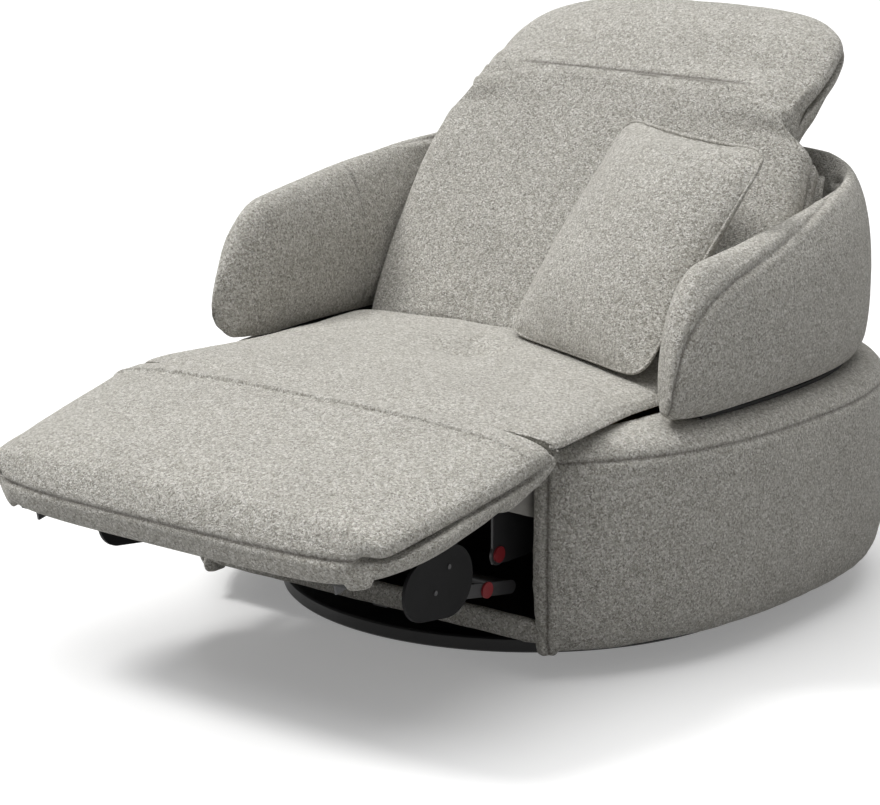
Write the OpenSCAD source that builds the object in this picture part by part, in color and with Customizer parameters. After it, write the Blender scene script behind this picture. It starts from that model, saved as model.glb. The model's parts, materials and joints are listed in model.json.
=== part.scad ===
// Round swivel recliner on a flat disc base, drawn opened out.
// Frame: +Z up, the chair faces -Y, origin at the centre of the disc on the floor.

/* [Base] */
// Diameter of the round base disc
disc_d = 850; // [780:5:880]
// Height of the disc over its pad
disc_h = 25; // [20:1:30]
// Thickness of the anti-slip pad under the disc
pad_t = 3; // [2:0.5:5]
// Thickness of each bearing race
race_t = 8; // [7:0.5:10]
// Diameter of the ball circle
ball_circle_d = 250; // [220:5:280]
// Diameter of one bearing ball
ball_d = 10; // [9:0.5:11]
// Number of bearing balls
ball_n = 16; // [12:1:20]
// Diameter of the centre pin
centre_pin_d = 24; // [20:1:28]

/* [Drum] */
// Overall width of the drum at its top edge
drum_w = 1090; // [1070:5:1110]
// Distance from the drum's centre to its front, without the mouth
drum_front = 620; // [605:5:635]
// Distance from the drum's centre to its back
drum_back = 550; // [540:5:570]
// How far the drum's centre lies behind the swivel
drum_y = 70; // [64:1:76]
// Height of the fabric's lower edge over the floor
drum_bottom_z = 46; // [44:1:50]
// Height of the stitched top edge
drum_seam_z = 362; // [354:1:368]
// Height of the drum's shoulder
drum_top_z = 398; // [394:1:399]
// Thickness of the drum's wall at its side
drum_wall = 140; // [137:1:141]
// Distance from the well's side in to the mouth
mouth_in = 66; // [61:1:71]
// Width of the flange strip beside the mouth
flange_w = 37; // [33:1:38]
// Thickness of the upholstered fascia
fascia_t = 26; // [22:1:28]
// Height of the front rail's upper edge
rail_top_z = 97; // [90:1:104]
// Height of the front rail's lower edge
rail_low_z = 62; // [56:1:66]

/* [Arm wrap] */
// Height of the wrap's crest at the back
wrap_back_z = 726; // [700:2:736]
// Height of the arm's crest behind its rounded front
wrap_arm_z = 632; // [610:2:644]
// How far the arms stand back from the well's side
arm_out = 7; // [3:1:15]
// How far the wrap's outside lies inside the drum's edge
wrap_inset = 24; // [18:1:32]
// How far the wrap's centre lies ahead of the drum's centre
wrap_ahead = 36; // [30:1:40]
// Angle of the arm's front end before the sideways line
wrap_front_a = 32.5; // [30:0.5:35]
// Thickness of the spacer board under the wrap
spacer_t = 6; // [4:0.5:8]

/* [Seat] */
// Height of the seat's top surface
seat_z = 440; // [434:1:444]
// Gap between the seat and the well's side
seat_in = 3; // [1:0.5:9]
// How much the seat widens towards its front, at each side
seat_flare = 22; // [10:1:28]
// Height of the seat cushion's underside
seat_bottom_z = 346; // [342:1:348]
// Depth of the sewn tuft in the seat
tuft_d = 14; // [8:1:18]
// How far the carriage slides back when the back comes up
slide_travel = 50; // [40:1:52]

/* [Leg rest] */
// Distance of the leg rest's axis in front of the swivel
leg_axis_y = 562; // [560:1:566]
// Height of the leg rest's axis
leg_axis_z = 384; // [382:1:388]
// Radius of the pad's rounded rear end
leg_r = 56; // [54:0.5:58]
// Length of the pad in front of its axis
leg_len = 364; // [354:1:366]
// How far the leg rest reaches past the seat's front, at each side
leg_flare = 20; // [12:1:26]
// Slope of the opened leg rest in degrees
leg_slope = 11.6; // [10:0.1:13]
// How far the leg rest folds down in degrees
leg_fold_a = 74; // [60:1:74]

/* [Back] */
// Distance of the back's axis behind the swivel
back_axis_y = 102; // [100:1:106]
// Height of the back's axis
back_axis_z = 410; // [408:1:414]
// Radius of the back cushion's rounded lower end
back_r = 70; // [68:0.5:71]
// Distance between the back's axis and the head's axis along the back
back_len = 452; // [446:1:458]
// Gap between the back cushion and the well's side
back_in = 3; // [1:0.5:11]
// Lean of the opened back from upright in degrees
back_lean = 35; // [33:0.5:36]
// How far the back comes up in degrees
back_rise_a = 20; // [14:1:20]

/* [Head] */
// Lean of the head section from upright in degrees
head_lean = 62; // [58:0.5:64]
// Radius of the head cushion's rounded lower end
head_r = 64; // [62:0.5:66]
// Length of the head cushion above its axis
head_len = 286; // [276:2:292]
// How much narrower than the back the head cushion is, at each side
head_in = 55; // [48:1:64]

/* [Pillow] */
// Width of the throw pillow
pillow_w = 415; // [400:5:425]
// Height of the throw pillow
pillow_h = 430; // [420:5:445]
// Half thickness of the throw pillow
pillow_t = 60; // [54:1:64]

/* [Mechanism] */
// Distance from the mouth's side in to the mechanism plates
plate_in = 49; // [48:1:51]
// Thickness of the mechanism plates
plate_t = 4; // [3:0.5:5]
// Radius of the pivot pins
pin_r = 5; // [4:0.5:6]
// Radius of the carriage's cross tubes
tube_r = 12; // [10:0.5:13]
// Radius of the motors' rods
rod_r = 10; // [8:0.5:11]
// Radius of the red pivot bushes
bush_r = 13; // [11:0.5:15]
// Thickness of the structural plywood
ply_t = 18; // [15:0.5:20]
// Thickness of the bottom board
board_t = 12; // [10:0.5:14]

/* [Switch] */
// Width of the switch plate
switch_w = 74; // [66:1:80]
// Height of the switch plate
switch_h = 30; // [26:1:34]
// Radius of each button
button_r = 9; // [7:0.5:10]
// Travel of each button
button_travel = 1.5; // [1:0.1:2]

/* [Hidden] */
// Half widths, from the drum's own width inwards
well_w = drum_w / 2 - drum_wall;
mouth_w = well_w - mouth_in;
wrap_inner_w = well_w + arm_out;
seat_w = well_w - seat_in;
seat_front_w = seat_w + seat_flare;
leg_w = seat_front_w + leg_flare;
back_w = well_w - back_in;
head_w = back_w - head_in;
plate_x = mouth_w - plate_in;
// Clearance between soft pieces on different bodies
soft_gap = 1.5;
// Clearance of a seated soft piece
seat_gap = 0.3;
// Radial clearance of a pin in its bore
pin_gap = 0.05;
// Overrun of cuts
over = 1;
// Facets of round parts
round_n = 64;
// Facets of small round parts
small_n = 32;
ball_round_n = 12;

// Upholstery colour
fabric = "#b7b3aa";
// Colour of a lighter fabric face
fabric_light = "#c2beb6";

// Heights of the base stack
disc_top = pad_t + disc_h;
race_gap = 2;
race_top = disc_top + race_t;
ball_z = race_top + race_gap / 2;
upper_race_z = race_top + race_gap;
frame_z = upper_race_z + race_t;
// Crossed tubes of the turning frame
frame_h = 16;
frame_w = 30;
frame_in = 5;
frame_r = well_w - frame_in;
hub_r = 40;
board_z = frame_z + frame_h;
floor_z = board_z + board_t;
// Radial size of a bearing race
race_w = 50;
pad_inset = 20;
disc_chamfer = 3;
pin_flange_r = 34;
pin_flange_t = 6;
nut_r = 20;
nut_t = 8;
nut_gap = 0.3;
screw_r = 4;
screw_head_r = 7;
screw_head_t = 1.6;
screw_n = 8;
screw_inset = 10;

// Powers of the rounded plan outlines
drum_power = 2.5;
well_power = 6;
wrap_power = 5;
// Reach of the well from the drum's centre
well_end_wall = 150;
well_front = drum_front - well_end_wall;
well_back = drum_back - well_end_wall;
wrap_inner_front = 800;
wrap_inner_back = well_back;
// Angle where the drum's wall ends beside the mouth
drum_end_a = 51.5;
drum_n = 48;
wrap_n = 48;
wrap_ring_n = 16;

// Height shares and outward bulge of the drum's outer face
drum_bulge = 7;
drum_foot = 46;
drum_shoulder = 74;
drum_side_shares = [[-1, 0, 0], [-0.42, 0, 0.025], [-0.1, 0, 0.11],
    [0, 0.7, 0.3], [0, 1, 0.6], [0, 0.8, 0.85], [0, -0.3, 1]];
drum_top_shares = [[-0.2, 0.55], [-0.6, 0.95], [-1, 1]];

// Shape of the arm wrap
wrap_base_z = drum_top_z + spacer_t;
wrap_round = 96;
wrap_nose = 74;
wrap_climb = 720;
wrap_start = 5;
wrap_bulge = 12;
wrap_lean = 16;
wrap_mean_r = 480;
wrap_lift = 26;
wrap_climb_power = 0.9;
wrap_round_power = 2.4;
wrap_nose_share = 0.5;
wrap_nose_out = 40;
wrap_side_power = 2.7;
wrap_top_power = 2.6;
spacer_inset = 26;
spacer_front_a = 24;

// Seat profile
seat_rear_gap = 4;
seat_rear_y = back_axis_y - back_r - seat_rear_gap;
seat_rim_lift = 1;
seat_spine_z = wrap_base_z + seat_rim_lift;
seat_side_gap = 5;
seat_low_w = mouth_w - seat_side_gap;
seat_back_round = 16;
seat_lip = 9;
seat_n = 22;
seat_k = 10;
seat_front_start = 265;
seat_front_end = 430;
seat_power = 3;
tuft_y = -158;
tuft_r = 62;
seat_arc = leg_r + soft_gap;
seat_chin = 20;

// Leg rest profile
leg_board_t = 12;
leg_n = 16;
leg_power = 3.4;
leg_corner = 150;
leg_corner_w = 62;
leg_corner_power = 2.6;
leg_crown = 6;
leg_nose = 44;

// Back profile, in shares of its radius and its length
back_rear = 40;
back_n = 16;
back_power = 3.2;
back_arc_gap = 2.5;
back_arc = head_r + back_arc_gap;
head_axis_n = 32;
back_front_shares = [[0.5, -0.87], [0.86, -0.5], [1, 0]];
back_crown_shares = [[1.2, 0.13], [1.34, 0.27], [1.43, 0.44], [1.48, 0.62], [1.48, 0.8], [1.46, 0.93]];
back_low_rear_shares = [[-0.24, -0.97], [-0.52, -0.68], [-0.57, -0.3]];
back_rear_shares = [[1, 0.02], [1, 0.2], [1, 0.4], [1, 0.58], [1, 0.71], [1, 0.79],
    [0.975, 0.82], [0.9, 0.83], [0.7, 0.836]];
back_taper_start_share = 0.62;
back_taper = 40;
back_lip = 5;

// Head profile, in shares of its radius and its length
head_n = 18;
head_power = 2.6;
head_low = 30;
head_plan_power = 3;
head_front_shares = [[1.16, 0.24], [1.24, 0.44], [1.1, 0.68], [0.72, 0.88], [0.26, 0.985]];
head_rear_shares = [[-0.6, 0.22], [-0.6, 0.44], [-0.58, 0.64], [-0.42, 0.85], [-0.08, 0.975]];
head_board_t = 11;
head_board_n = 50;

// Pillow pose and edge
pillow_turn = 21;
pillow_lean = 35;
pillow_x = -20;
pillow_y = -36;
pillow_lift = 5.4;
pillow_n = 14;
pillow_k = 12;
pillow_edge = 4;
pillow_pinch_share = 0.045;

// Rims that close the sides of the cushions
rim_share = 0.1;

// Side view places of the leg rest's and the back's axes
leg_axis = [-leg_axis_y, leg_axis_z];
back_axis = [back_axis_y, back_axis_z];
// The head's axis, in the back's frame and in the side view
head_axis_local = [-head_axis_n, back_len];
head_axis = turned(head_axis_local, back_axis, -back_lean);

// Carriage, placed from the two axes
seat_frame_t = 24;
plate_h = 132;
plate_top_z = seat_bottom_z - seat_frame_t;
plate_low_z = plate_top_z - plate_h;
plate_rear_off = 28;
plate_rear_y = back_axis_y + plate_rear_off;
plate_front_off = 122;
plate_front_y = plate_front_off - leg_axis_y;
plate_leg_l = 320;
leg_y = plate_rear_y - plate_leg_l;
eye_r = 16;
arm_half = 13;
knee_off = [84, -86];
knee = leg_axis + knee_off;
bush_lobe_off = [98, -176];
bush_lobe = leg_axis + bush_lobe_off;
bush_lobe_r = 18;
back_eye_r = 18;
back_neck_half = 15;
front_tube_in = 60;
rear_tube_in = 30;
tube_drop = 60;
front_tube = [plate_front_y + front_tube_in, plate_top_z - tube_drop];
rear_tube = [plate_rear_y - rear_tube_in, plate_top_z - tube_drop];
frame_over = 12;
frame_half = plate_x + frame_over;
frame_front_off = 82;
frame_rear_off = 90;
frame_front = frame_front_off - leg_axis_y;
frame_rear = back_axis_y - frame_rear_off;
rail_side = 50;
rail_end = 58;
web_t = 2;
web_drop = 4;
web_w = 46;
web_n = 5;
pin_head_r = 9;
pin_head_t = 3;
pin_proud = 1;
bush_t = 3.5;
gusset_t = 1.5;
gusset_in = 9;
gusset_x = mouth_w - gusset_in;
gusset_front_off = 62;
gusset_l = 79;
gusset_front = gusset_front_off - leg_axis_y;
gusset_rear = gusset_front + gusset_l;
gusset_rise = 35;
gusset_drop_front = 52;
gusset_drop_rear = 82;

// Slide rails and their shoes
shoe_gap = 0.4;
rail_w = 20;
rail_h = 16;
rail_in = 14;
rail_x = plate_x - rail_in;
rail_over = 120;
rail_front = rail_over - leg_y;
rail_rear = plate_rear_y + slide_travel + rail_over;
shoe_lip = 4;
shoe_top_t = 7;
shoe_len = 110;
shoe_top_z = floor_z + rail_h + shoe_gap + shoe_top_t;

// Outward layers of the leg rest linkage, from the plate's inner face
layer_gap = 5;
link_gap = 4;
link_x = plate_x + plate_t + layer_gap;
link_t = 3;
bracket_x = link_x + link_t + link_gap;
bracket_t = 4;
cover_x = bracket_x + bracket_t + layer_gap;
cover_t = 6;
slot_gap = 4;
slot_in = plate_x - slot_gap;
slot_out = bracket_x + bracket_t + slot_gap;
slot_reach = 62;
slot_up = 22;

// Leg rest brackets, links and covers, placed from the leg rest's axis
link_pivot_off = [-78, -199];
link_end_off = [122, -234];
link_pivot = leg_axis + link_pivot_off;
link_end = leg_axis + link_end_off;
link_half = 11;
link_tube_r = 9;
bracket_half = 13;
bracket_lobe_r = 24;
foot_h = 16;
foot_front = 330;
foot_rear = 52;
leg_board_rear = 72;
leg_board_in = 104;
leg_board_w = leg_w - leg_board_in;
leg_board_front_gap = 32;
leg_tube_y = 290;
leg_tube_r = 8;
leg_tube_drop = 1;
cover_a_off = [-120, -178];
cover_b_off = [-59, -176];
cover_a = leg_axis + cover_a_off;
cover_a_r = 47;
cover_b = leg_axis + cover_b_off;
cover_b_r = 57;
cover_screw_a_off = [-94, -186];
cover_screw_b_off = [-61, -152];
cover_screw_a = leg_axis + cover_screw_a_off;
cover_screw_b = leg_axis + cover_screw_b_off;
boss_r = 7;
link_bush_share = 0.675;
link_bush = link_pivot + (link_end - link_pivot) * link_bush_share;

// Motors
leg_motor_z = link_end[1];
leg_stroke = 227;
rod_gap = 6;
fork_w = 28;
fork_t = 14;
leg_rod_front = link_end[0] + link_tube_r + rod_gap + fork_t / 2;
fork_spare = 11;
leg_motor_front = leg_rod_front + fork_t / 2 + leg_stroke + fork_spare;
rod_hold = 22;
leg_rod_rear = leg_motor_front + rod_hold;
motor_tube_r = 17;
motor_gap = 0.4;
leg_motor_in = 40;
leg_motor_rear = rear_tube[0] - leg_motor_in;
motor_box_w = 70;
motor_box_l = 90;
motor_box_h = 86;
motor_hang_w = 20;
back_motor_drop = 24;
back_motor_z = plate_top_z - back_motor_drop;
back_motor_r = 14;
back_motor_l = 210;
back_motor_in = 62;
back_motor_rear = back_axis_y - back_motor_in;
back_motor_front = back_motor_rear - back_motor_l;
back_box_w = 64;
back_box_l = 80;
back_box_h = 62;
back_box_top = 17;
back_rod_l = 168;
back_rod_gap = 3;
lever_arm = 110;
lever_half = 11;
lever_t = 12;
// The lever's end stands straight below the back's axis
lever_end = [back_axis_y, back_axis_z - lever_arm];

// Back frame in the side view of the back
back_frame_gap = 1;
back_frame_n = back_rear + back_frame_gap;
back_frame_t = 16;
back_frame_in = 72;
back_frame_w = back_w - back_frame_in;
back_frame_low = -30;
back_frame_top_in = 60;
back_frame_high = back_len - back_frame_top_in;
back_frame_rail = 46;
back_eye_up = 90;
back_foot_n = 28;
back_slot_up = 128;
back_slot_front = 25;
back_slot_rear = 78;
back_cover_t = 5;
back_cover_in = 14;
back_cover_w = back_w - back_cover_in;
back_cover_gap = 1;
back_cover_shares = [[0.86, 0], [1, 0.18], [1, 0.65], [0.92, 1]];
head_arm_in = 147;
head_arm_x = head_w - head_arm_in;
head_arm_half = 9;
head_eye_r = 12;
head_pin_r = 4;
head_pin_head_r = 7;
head_slot_up = 92;
head_bracket_up = 78;
head_board_in = 107;
head_board_w = head_w - head_board_in;
head_board_low = 66;
head_board_high = 214;

// Drum inside pieces
panel_in = 31;
panel_x = well_w - panel_in;
panel_front = -236;
panel_rear = 300;
panel_drop = 12;
panel_top = seat_bottom_z - panel_drop;
rear_panel_in = 3.5;
rear_panel_y = drum_y + well_back - ply_t - rear_panel_in;
rear_panel_side = 175;
rear_panel_w = well_w - rear_panel_side;
box_x = -160;
box_y = 200;
box_w = 120;
box_l = 120;
box_h = 46;
inlet_x = 150;
inlet_y = 396;
inlet_w = 40;
inlet_l = 34;
inlet_h = 14;
jack_r = 4;
jack_depth = 12;
switch_t = 8;
switch_back_t = 1.3;
switch_z = 240;
button_pitch = 30;
button_gap = 0.1;
button_proud = 1.5;

// Signed power, for superellipses
function spow(c, e) = sign(c) * pow(abs(c), e);
function mix(a, b, t) = a + (b - a) * t;
function mean(l) = [for (k = [0:2]) [for (p = l) p[k]] * [for (p = l) 1 / len(l)]];
// Rounding that falls from one to nothing at t = 1
function round_off(t, p) = pow(1 - pow(min(abs(t), 1), p), 1 / p);
// Even station across a cushion, drawn together at both sides
function station(i, n) = let (u = 2 * i / n - 1) u * (3 - u * u) / 2;
// Distance of a rounded plan outline from the drum's centre, along angle a
function plan_r(a, w, f, b, p) =
    pow(pow(abs(cos(a)) / w, p) + pow(abs(sin(a)) / (sin(a) < 0 ? f : b), p), -1 / p);
function plan_at(a, r) = [r * cos(a), drum_y + r * sin(a)];
function drum_r(a, out = 0) = plan_r(a, drum_w / 2, drum_front, drum_back, drum_power) + out;
function well_r(a) = plan_r(a, well_w, well_front, well_back, well_power);
function wrap_out_r(a) = drum_r(a) - wrap_inset;
function wrap_in_r(a) =
    plan_r(a, wrap_inner_w, wrap_inner_front, wrap_inner_back, wrap_power);
// Point on an arc in the side view
function arc_at(c, r, a) = [c[0] + r * cos(a), c[1] + r * sin(a)];
// Side view point of a frame turned by a, seen from outside it
function turned(p, c, a) =
    [c[0] + p[0] * cos(a) - p[1] * sin(a), c[1] + p[0] * sin(a) + p[1] * cos(a)];

// Closed skin over rings of points, with a fan at each end
module ring_skin(rings) {
    n = len(rings);
    m = len(rings[0]);
    pts = concat([for (r = rings) for (p = r) p], [mean(rings[0])], [mean(rings[n - 1])]);
    sides = [for (i = [0:n - 2]) for (j = [0:m - 1]) for (h = [0, 1])
        h == 0 ? [i * m + j, (i + 1) * m + (j + 1) % m, (i + 1) * m + j]
            : [i * m + j, i * m + (j + 1) % m, (i + 1) * m + (j + 1) % m]];
    first = [for (j = [0:m - 1]) [n * m, (j + 1) % m, j]];
    last = [for (j = [0:m - 1]) [n * m + 1, (n - 1) * m + j, (n - 1) * m + (j + 1) % m]];
    polyhedron(points = pts, faces = concat(sides, first, last));
}

// Cushion drawn across x. Each pair of points of its side view, top and
// bottom, shrinks to an anchor between them towards the two sides.
module loaf(top, low, anchors, top_w, low_w, n, power, dip = [0, 0, 0, 1]) {
    k = len(top);
    m = 2 * k;
    pts = [for (i = [0:n])
        let (s = station(i, n), q = rim_share + (1 - rim_share) * round_off(s, power))
        for (j = [0:m - 1])
            let (t = j < k, g = t ? j : m - 1 - j,
                p = t ? top[g] : low[g],
                x = s * (t ? top_w[g] : low_w[g]),
                y = mix(anchors[g][0], p[0], q),
                z = mix(anchors[g][1], p[1], q),
                d = t ? dip[2] * exp(-(x * x + (y - dip[1]) * (y - dip[1])) / (dip[3] * dip[3])) : 0)
            [x, y, z - d]];
    sides = [for (i = [0:n - 1]) for (j = [0:m - 1]) for (h = [0, 1])
        h == 0 ? [i * m + j, (i + 1) * m + j, (i + 1) * m + (j + 1) % m]
            : [i * m + j, (i + 1) * m + (j + 1) % m, i * m + (j + 1) % m]];
    caps = [for (e = [0, 1]) for (j = [0:k - 2]) for (h = [0, 1])
        let (b = e * n * m, f = h == 0
            ? [b + j, b + j + 1, b + m - 2 - j] : [b + j, b + m - 2 - j, b + m - 1 - j])
        e == 0 ? f : [f[2], f[1], f[0]]];
    polyhedron(points = pts, faces = concat(sides, caps));
}

// Plate drawn in the side view and set at x
module side_slab(x, t) {
    translate([x, 0, 0]) rotate([90, 0, 90]) linear_extrude(t) children();
}
// Round bar across x at a place of the side view
module bar_x(p, r, x0, x1, n = small_n) {
    translate([x0, p[0], p[1]]) rotate([0, 90, 0]) cylinder(r = r, h = x1 - x0, $fn = n);
}
// Straight strip between two places of the side view
module strip2d(a, b, half) {
    l = norm(b - a);
    d = (b - a) / l;
    nrm = [-d[1], d[0]] * half;
    polygon([a + nrm, a - nrm, b - nrm, b + nrm]);
}
module disc2d(p, r) {
    translate(p) circle(r = r, $fn = small_n);
}
module both_sides() {
    children();
    mirror([1, 0, 0]) children();
}
// Frames that carry the leg rest, the back and the head
module leg_place() {
    translate([0, leg_axis[0], leg_axis[1]]) rotate([leg_slope, 0, 0]) children();
}
module back_place() {
    translate([0, back_axis[0], back_axis[1]]) rotate([-back_lean, 0, 0]) children();
}
module head_place() {
    translate([0, head_axis[0], head_axis[1]]) rotate([-head_lean, 0, 0]) children();
}

// Base
module floor_pad() {
    color("#1b1b1d") cylinder(r = disc_d / 2 - pad_inset, h = pad_t, $fn = round_n);
}
module base_disc() {
    r = disc_d / 2;
    color("#232325") rotate_extrude($fn = round_n)
        polygon([[0, pad_t], [r - disc_chamfer, pad_t], [r, pad_t + disc_chamfer],
            [r, disc_top - disc_chamfer], [r - disc_chamfer, disc_top], [0, disc_top]]);
}
module race(z) {
    c = ball_circle_d / 2;
    rotate_extrude($fn = round_n) difference() {
        translate([c - race_w / 2, z]) square([race_w, race_t]);
        translate([c, ball_z]) circle(r = ball_d / 2 + pin_gap, $fn = small_n);
    }
}
module lower_race() {
    color("#8d9094") race(disc_top);
}
module upper_race() {
    color("#8d9094") race(upper_race_z);
}
module swivel_balls() {
    color("#c9cbcd") for (i = [0:ball_n - 1])
        rotate([0, 0, 360 * i / ball_n]) translate([ball_circle_d / 2, 0, ball_z])
            sphere(r = ball_d / 2, $fn = ball_round_n);
}
module centre_pin() {
    color("#9a9da1") {
        translate([0, 0, disc_top]) cylinder(r = pin_flange_r, h = pin_flange_t, $fn = round_n);
        translate([0, 0, disc_top])
            cylinder(r = centre_pin_d / 2, h = board_z + nut_t - disc_top, $fn = round_n);
        translate([0, 0, board_z + nut_gap])
            cylinder(r = nut_r, h = nut_t - nut_gap, $fn = 6);
    }
}
module race_screws() {
    r = ball_circle_d / 2 - race_w / 2 + screw_inset;
    color("#6f7276") for (i = [0:screw_n - 1])
        rotate([0, 0, 360 * (i + 1 / 2) / screw_n]) translate([r, 0, race_top])
            cylinder(r = screw_r, h = screw_head_t, $fn = small_n);
}

// Drum
module cross_frame() {
    color("#2a2b2d") difference() {
        union() {
            for (a = [0, 90]) rotate([0, 0, a])
                translate([-frame_r, -frame_w / 2, frame_z]) cube([2 * frame_r, frame_w, frame_h]);
            translate([0, 0, frame_z]) cylinder(r = hub_r, h = frame_h, $fn = round_n);
        }
        translate([0, 0, frame_z - over])
            cylinder(r = centre_pin_d / 2 + pin_gap, h = frame_h + 2 * over, $fn = round_n);
    }
}
module bottom_board() {
    color("#b99868") difference() {
        translate([0, 0, board_z]) linear_extrude(board_t) {
            polygon([for (i = [0:drum_n]) plan_at(drum_a(i), well_r(drum_a(i)))]);
            translate([-mouth_w, fascia_rear_y + seat_gap])
                square([2 * mouth_w, panel_front - fascia_rear_y]);
        }
        translate([0, 0, board_z - over])
            cylinder(r = nut_r + screw_head_r, h = board_t + 2 * over, $fn = round_n);
    }
}
module side_panel(s) {
    x = s < 0 ? -panel_x - ply_t : panel_x;
    color("#b99868") translate([x, panel_front, floor_z])
        cube([ply_t, panel_rear - panel_front, panel_top - floor_z]);
}
module side_panel_l() {
    side_panel(-1);
}
module side_panel_r() {
    side_panel(1);
}
module rear_panel() {
    color("#b99868") translate([-rear_panel_w, rear_panel_y, floor_z])
        cube([2 * rear_panel_w, ply_t, panel_top - floor_z]);
}
// The fascia's front follows the drum's outline beside the mouth
fascia_front_y = drum_y - drum_front * pow(1 - pow((mouth_w + flange_w) / (drum_w / 2), drum_power),
    1 / drum_power) - soft_gap;
fascia_rear_y = fascia_front_y + fascia_t;
module front_fascia() {
    w = mouth_w + flange_w;
    color(fabric) translate([0, fascia_rear_y, 0]) rotate([90, 0, 0])
        linear_extrude(fascia_t) difference() {
            translate([-w, drum_bottom_z]) square([2 * w, drum_top_z - drum_bottom_z]);
            translate([-mouth_w, rail_top_z]) square([2 * mouth_w, drum_top_z]);
            translate([-mouth_w, 0]) square([2 * mouth_w, rail_low_z]);
        }
}
// Section of the drum's wall, as radius and height
function drum_a(i) = mix(-drum_end_a, 180 + drum_end_a, i / drum_n);
function drum_ring(a) =
    let (h = drum_seam_z - drum_bottom_z, t = drum_top_z - drum_seam_z, r = drum_r(a),
        out = [for (s = drum_side_shares)
            [r + s[0] * drum_foot + s[1] * drum_bulge, drum_bottom_z + s[2] * h]],
        top = [for (s = drum_top_shares)
            [r + s[0] * drum_shoulder, drum_seam_z + s[1] * t]],
        inn = [[well_r(a) + seat_gap, drum_top_z], [well_r(a) + seat_gap, drum_bottom_z]])
    [for (p = concat(out, top, inn)) let (q = plan_at(a, p[0])) [q[0], q[1], p[1]]];
module drum_cover() {
    color(fabric) ring_skin([for (i = [0:drum_n])
        drum_ring(drum_a(i))]);
}
module wrap_spacer() {
    n = drum_n;
    outer = [for (i = [0:n]) let (a = mix(-spacer_front_a, 180 + spacer_front_a, i / n))
        wrap_at(a, wrap_out_r(a) - spacer_inset)];
    inner = [for (i = [0:n]) let (a = mix(180 + spacer_front_a, -spacer_front_a, i / n))
        wrap_at(a, wrap_in_r(a) + spacer_inset / 2)];
    color("#3a3936") translate([0, 0, drum_top_z]) linear_extrude(spacer_t)
        polygon(concat(outer, inner));
}
// Crest height of the wrap at distance d from the arm's front
function wrap_crest(d) = wrap_base_z
    + (wrap_arm_z - wrap_base_z) * round_off(1 - min((d + wrap_start) / wrap_round, 1), wrap_round_power)
    + (wrap_back_z - wrap_arm_z) * pow(min(d / wrap_climb, 1), wrap_climb_power);
function wrap_at(a, r) = plan_at(a, r) - [0, wrap_ahead];
function wrap_ring(a) =
    let (edge = min(a + wrap_front_a, 180 + wrap_front_a - a),
        d = edge * PI / 180 * wrap_mean_r,
        q = mix(wrap_nose_share, 1, round_off(1 - min(d / wrap_nose, 1), 2)),
        ro = wrap_out_r(a), ri = wrap_in_r(a),
        rc = (ro + ri) / 2 + (1 - q) * wrap_nose_out, hw = (ro - ri) / 2 * q,
        z0 = wrap_base_z + wrap_lift * (1 - q), z1 = wrap_crest(d),
        zc = (z0 + z1) / 2, hh = (z1 - z0) / 2)
    [for (j = [0:wrap_ring_n - 1])
        let (b = 360 * j / wrap_ring_n,
            c = spow(cos(b), 2 / wrap_side_power), s = spow(sin(b), 2 / wrap_top_power),
            up = (s + 1) / 2,
            r = rc + hw * c + max(c, 0) * q * (wrap_bulge * (1 - s * s) - wrap_lean * up * up),
            p = wrap_at(a, r))
        [p[0], p[1], zc + hh * s]];
module arm_wrap() {
    color(fabric_light) ring_skin([for (i = [0:wrap_n])
        wrap_ring(mix(-wrap_front_a, 180 + wrap_front_a, i / wrap_n))]);
}
module slide_rails() {
    color("#6d7073") both_sides()
        translate([rail_x - rail_w / 2, -rail_front, floor_z])
            cube([rail_w, rail_front + rail_rear, rail_h]);
}
module control_box() {
    color("#1d1e20") translate([box_x, box_y, floor_z]) cube([box_w, box_l, box_h]);
}
module power_inlet() {
    color("#1d1e20") difference() {
        translate([inlet_x, inlet_y, board_z - inlet_h]) cube([inlet_w, inlet_l, inlet_h]);
        translate([inlet_x + inlet_w / 2, inlet_y + inlet_l + over, board_z - inlet_h / 2])
            rotate([90, 0, 0]) cylinder(r = jack_r, h = jack_depth + over, $fn = small_n);
    }
}
// Switch on the drum's side, under the right hand of whoever sits there
switch_x = drum_w / 2 + drum_bulge;
module switch_plate() {
    color("#1d1e20") difference() {
        translate([-switch_x - switch_t, drum_y, switch_z]) rotate([90, 0, 90])
            linear_extrude(switch_t) {
                square([switch_w - switch_h, switch_h], center = true);
                for (s = [-1, 1]) translate([s * (switch_w - switch_h) / 2, 0])
                    circle(d = switch_h, $fn = round_n);
            }
        for (s = [-1, 1]) bar_x([drum_y + s * button_pitch / 2, switch_z],
            button_r + button_gap, -switch_x - switch_t - over, -switch_x - switch_back_t);
    }
}
module button(s) {
    color("#c8c9cb") bar_x([drum_y + s * button_pitch / 2, switch_z], button_r,
        -switch_x - switch_t - button_proud,
        -switch_x - switch_back_t - button_travel - button_gap);
}
module button_open() {
    button(-1);
}
module button_close() {
    button(1);
}

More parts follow.
